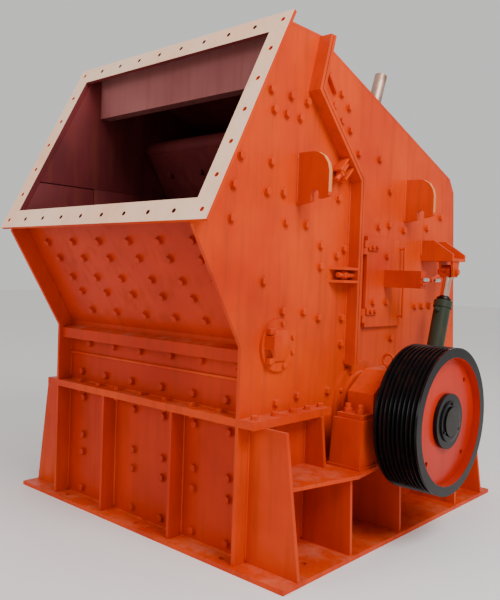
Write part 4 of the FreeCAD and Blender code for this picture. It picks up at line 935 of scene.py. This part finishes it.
# %% Strap
for side, label in ((1, "right"), (-1, "left")):
    xs = sorted((side * moving_wall, side * (moving_wall + 0.024)))
    clear()
    bpy.ops.mesh.primitive_cube_add(size=1, scale=(0.024, 0.034, 0.110), rotation=(math.radians(40), 0, 0),
                                    location=(sum(xs) / 2, -0.443, 2.516))
    strap = soften(bpy.context.object, 0.003)
    hang(strap, f"split_strap_{label}", "rear_housing", enamel)
print("straps made")

# %% [markdown]
# ## The access doors
# A strap runs from each hinge knuckle over the door. A rubber seal lies behind the door's edge,
# and the clamp's cross handle is bare zinc where hands turn it.

# %% Door fittings
SEAL_WIDTH = 0.022
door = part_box("access_door_right")
door_face = moving_wall + 0.025
strap_face = door_face + 0.012
for side, label in ((1, "right"), (-1, "left")):
    body = f"door_{label}"
    straps = []
    for z in (door[0].z + 0.095, door[1].z - 0.062):
        xs = sorted((side * door_face, side * strap_face))
        straps.append(block((xs[0], -0.046, z - 0.022), (xs[1], 0.062, z + 0.022), 0.003))
        for y in (-0.012, 0.036):
            straps += copies(bolt, [(Vector((side * strap_face, y, z)), (side, 0, 0), 0.62)])
    for y, z in ((0.172, 1.599), (0.029, 1.316), (0.179, 1.316)):
        straps += copies(bolt, [(Vector((side * door_face, y, z)), (side, 0, 0), 0.9)])
    hang(join(straps, "straps"), f"door_straps_{label}", body, enamel)
    xs = sorted((side * (moving_wall + 0.0005), side * (moving_wall + 0.0048)))
    y0, y1, z0, z1 = -0.044, 0.374, door[0].z + 0.006, door[1].z - 0.006
    rim = [block((xs[0], y0, z0), (xs[1], y1, z0 + SEAL_WIDTH), 0.001),
           block((xs[0], y0, z1 - SEAL_WIDTH), (xs[1], y1, z1), 0.001),
           block((xs[0], y0, z0 + SEAL_WIDTH), (xs[1], y0 + SEAL_WIDTH, z1 - SEAL_WIDTH), 0.001),
           block((xs[0], y1 - SEAL_WIDTH, z0 + SEAL_WIDTH), (xs[1], y1, z1 - SEAL_WIDTH), 0.001)]
    hang(join(rim, "seal"), f"door_seal_{label}", body, rubber)
    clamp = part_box(f"door_clamp_{label}")
    tip = clamp[1].x if side > 0 else clamp[0].x
    middle = Vector((tip - side * 0.008, (clamp[0].y + clamp[1].y) / 2, 1.460))
    grips = [round_bar(middle + Vector((0, e * 0.040, 0)), middle + Vector((0, e * 0.103, 0)), 0.0105, 20)
             for e in (-1, 1)]
    hang(join(grips, "grips"), f"clamp_grips_{label}", body, zinc)
print("door fittings made")

# %% [markdown]
# ## Wear liners inside the feed housing
# The stone strikes liners, not the walls. Each side has three plates 12 mm thick with narrow seams.
# A plate starts as a block and is trimmed by the planes of the mouth and of the slanted panel.

# %% Liners
def trim(piece, point, normal):
    """Cuts away what lies on the normal's side of a plane, and closes the cut."""
    clear()
    piece.select_set(True)
    bpy.context.view_layer.objects.active = piece
    bpy.ops.object.mode_set(mode="EDIT")
    bpy.ops.mesh.select_all(action="SELECT")
    bpy.ops.mesh.bisect(plane_co=point, plane_no=normal, use_fill=True, clear_outer=True)
    bpy.ops.object.mode_set(mode="OBJECT")
    return piece


LINERS = (
    # each plate: front, back, low and high edge; the seams are 6 mm wide or closed
    (-1.400, -0.888, 1.140, 1.972),
    (-0.882, -0.480, 1.140, 1.977),
    (-1.400, -0.480, 1.978, 2.700),
)
mouth_trim = mouth_low - mouth_out * 0.030
slope_trim = slope_face - slope_out * 0.040
liners = []
for side in (1, -1):
    xs = sorted((side * (inside - 0.0002), side * (inside - 0.012)))
    for front_edge, back_edge, low_edge, high_edge in LINERS:
        clear()
        low_corner = Vector((xs[0], front_edge, low_edge))
        high_corner = Vector((xs[1], back_edge, high_edge))
        bpy.ops.mesh.primitive_cube_add(size=1, location=(low_corner + high_corner) / 2,
                                        scale=high_corner - low_corner)
        liner = bpy.context.object
        fix(liner)
        trim(liner, mouth_trim, mouth_out)
        trim(liner, slope_trim, slope_out)
        liners.append(soften(liner, 0.0025))
hang(join(liners, "side_liners"), "side_liners", "frame", oxide)
print("liners:", len(liners))

# %% [markdown]
# ## Bolts on the apron
# The apron is the slab that the stone is thrown against. Its faceplate is held by rows of bolts.
# They are the last copies, so the master bolt is removed here.

# %% Apron bolts
APRON = math.radians(-58)
APRON_FACE = 0.075
apron_run = Vector((0, math.cos(APRON), math.sin(APRON)))
apron_pivot = Vector((0, -0.380, 2.300))
face_out = Vector((0, apron_run.z, -apron_run.y))
spots = []
for run in (0.150, 0.330, 0.510, 0.690):
    for x in (-0.600, -0.300, 0.0, 0.300, 0.600):
        on_face = apron_pivot + apron_run * run + face_out * APRON_FACE
        spots.append((on_face + Vector((x, 0, 0)), face_out, 1.0))
hang(join(copies(bolt, spots), "apron_bolts"), "apron_bolts", "rear_housing", oxide)
bpy.data.objects.remove(bolt)
print("apron bolts:", len(spots))

# %% [markdown]
# ## Floor
# A wide pale floor takes a soft shadow, so that the machine is seen to stand on it.

# %% Floor
clear()
bpy.ops.mesh.primitive_plane_add(size=80)
floor = bpy.context.object
floor.name = "floor"
pale = bpy.data.materials.new("pale_floor")
pale.use_nodes = True
surface = pale.node_tree.nodes["Principled BSDF"]
surface.inputs["Base Color"].default_value = linear("#F4F3F1")
surface.inputs["Roughness"].default_value = 0.85
floor.data.materials.append(pale)
print("floor laid")

# %% [markdown]
# ## Light
# One large soft light stands high on the pulley's side, so that side is brighter and the feed side is
# deeper in tone. A weak fill keeps the mouth readable, and a nearly white sky lifts every shadow.

# %% Light
world = bpy.data.worlds.new("studio")
bpy.context.scene.world = world
world.use_nodes = True
world.node_tree.nodes["Background"].inputs["Color"].default_value = (1.0, 0.99, 0.98, 1.0)
world.node_tree.nodes["Background"].inputs["Strength"].default_value = 0.72


def softbox(name, place, target, size, watts):
    """A rectangular soft light that faces its target."""
    data = bpy.data.lights.new(name, "AREA")
    data.shape = "RECTANGLE"
    data.size, data.size_y = size
    data.energy = watts
    lamp = bpy.data.objects.new(name, data)
    bpy.context.collection.objects.link(lamp)
    lamp.location = place
    lamp.rotation_euler = (Vector(target) - Vector(place)).to_track_quat("-Z", "Y").to_euler()
    return lamp


softbox("key", (5.6, -1.6, 6.0), (0.3, 0.0, 1.4), (3.0, 3.0), 430)
softbox("front_fill", (-2.5, -8.0, 4.0), (0.0, -0.5, 1.4), (4.0, 3.0), 130)
print("lights:", len(bpy.data.lights))

# %% [markdown]
# ## Camera
# It stands at eye height off the corner between the feed end and the pulley, and looks slightly down.
# Its turn is built from three directions: to the right, up, and back from the view.

# %% Camera
# the focal length as a share of the picture's height, which a 36 mm sensor covers
FOCAL_SHARE = 689.02 / 600
data = bpy.data.cameras.new("camera")
data.sensor_width = 36.0
data.lens = FOCAL_SHARE * 36.0
data.clip_end = 200
camera = bpy.data.objects.new("camera", data)
bpy.context.collection.objects.link(camera)
azimuth, pitch, roll = math.radians(41.92), math.radians(1.93), math.radians(1.99)
level = math.cos(pitch)
forward = Vector((-math.sin(azimuth) * level, math.cos(azimuth) * level, -math.sin(pitch)))
right = Vector((math.cos(azimuth), math.sin(azimuth), 0))
rise = right.cross(forward)
tilted_right = right * math.cos(roll) + rise * math.sin(roll)
tilted_rise = rise * math.cos(roll) - right * math.sin(roll)
view = Matrix((tilted_right, tilted_rise, -forward)).transposed().to_4x4()
view.translation = (3.034, -3.549, 1.443)
camera.matrix_world = view
bpy.context.scene.camera = camera
print("camera stands at", [round(v, 2) for v in camera.location])
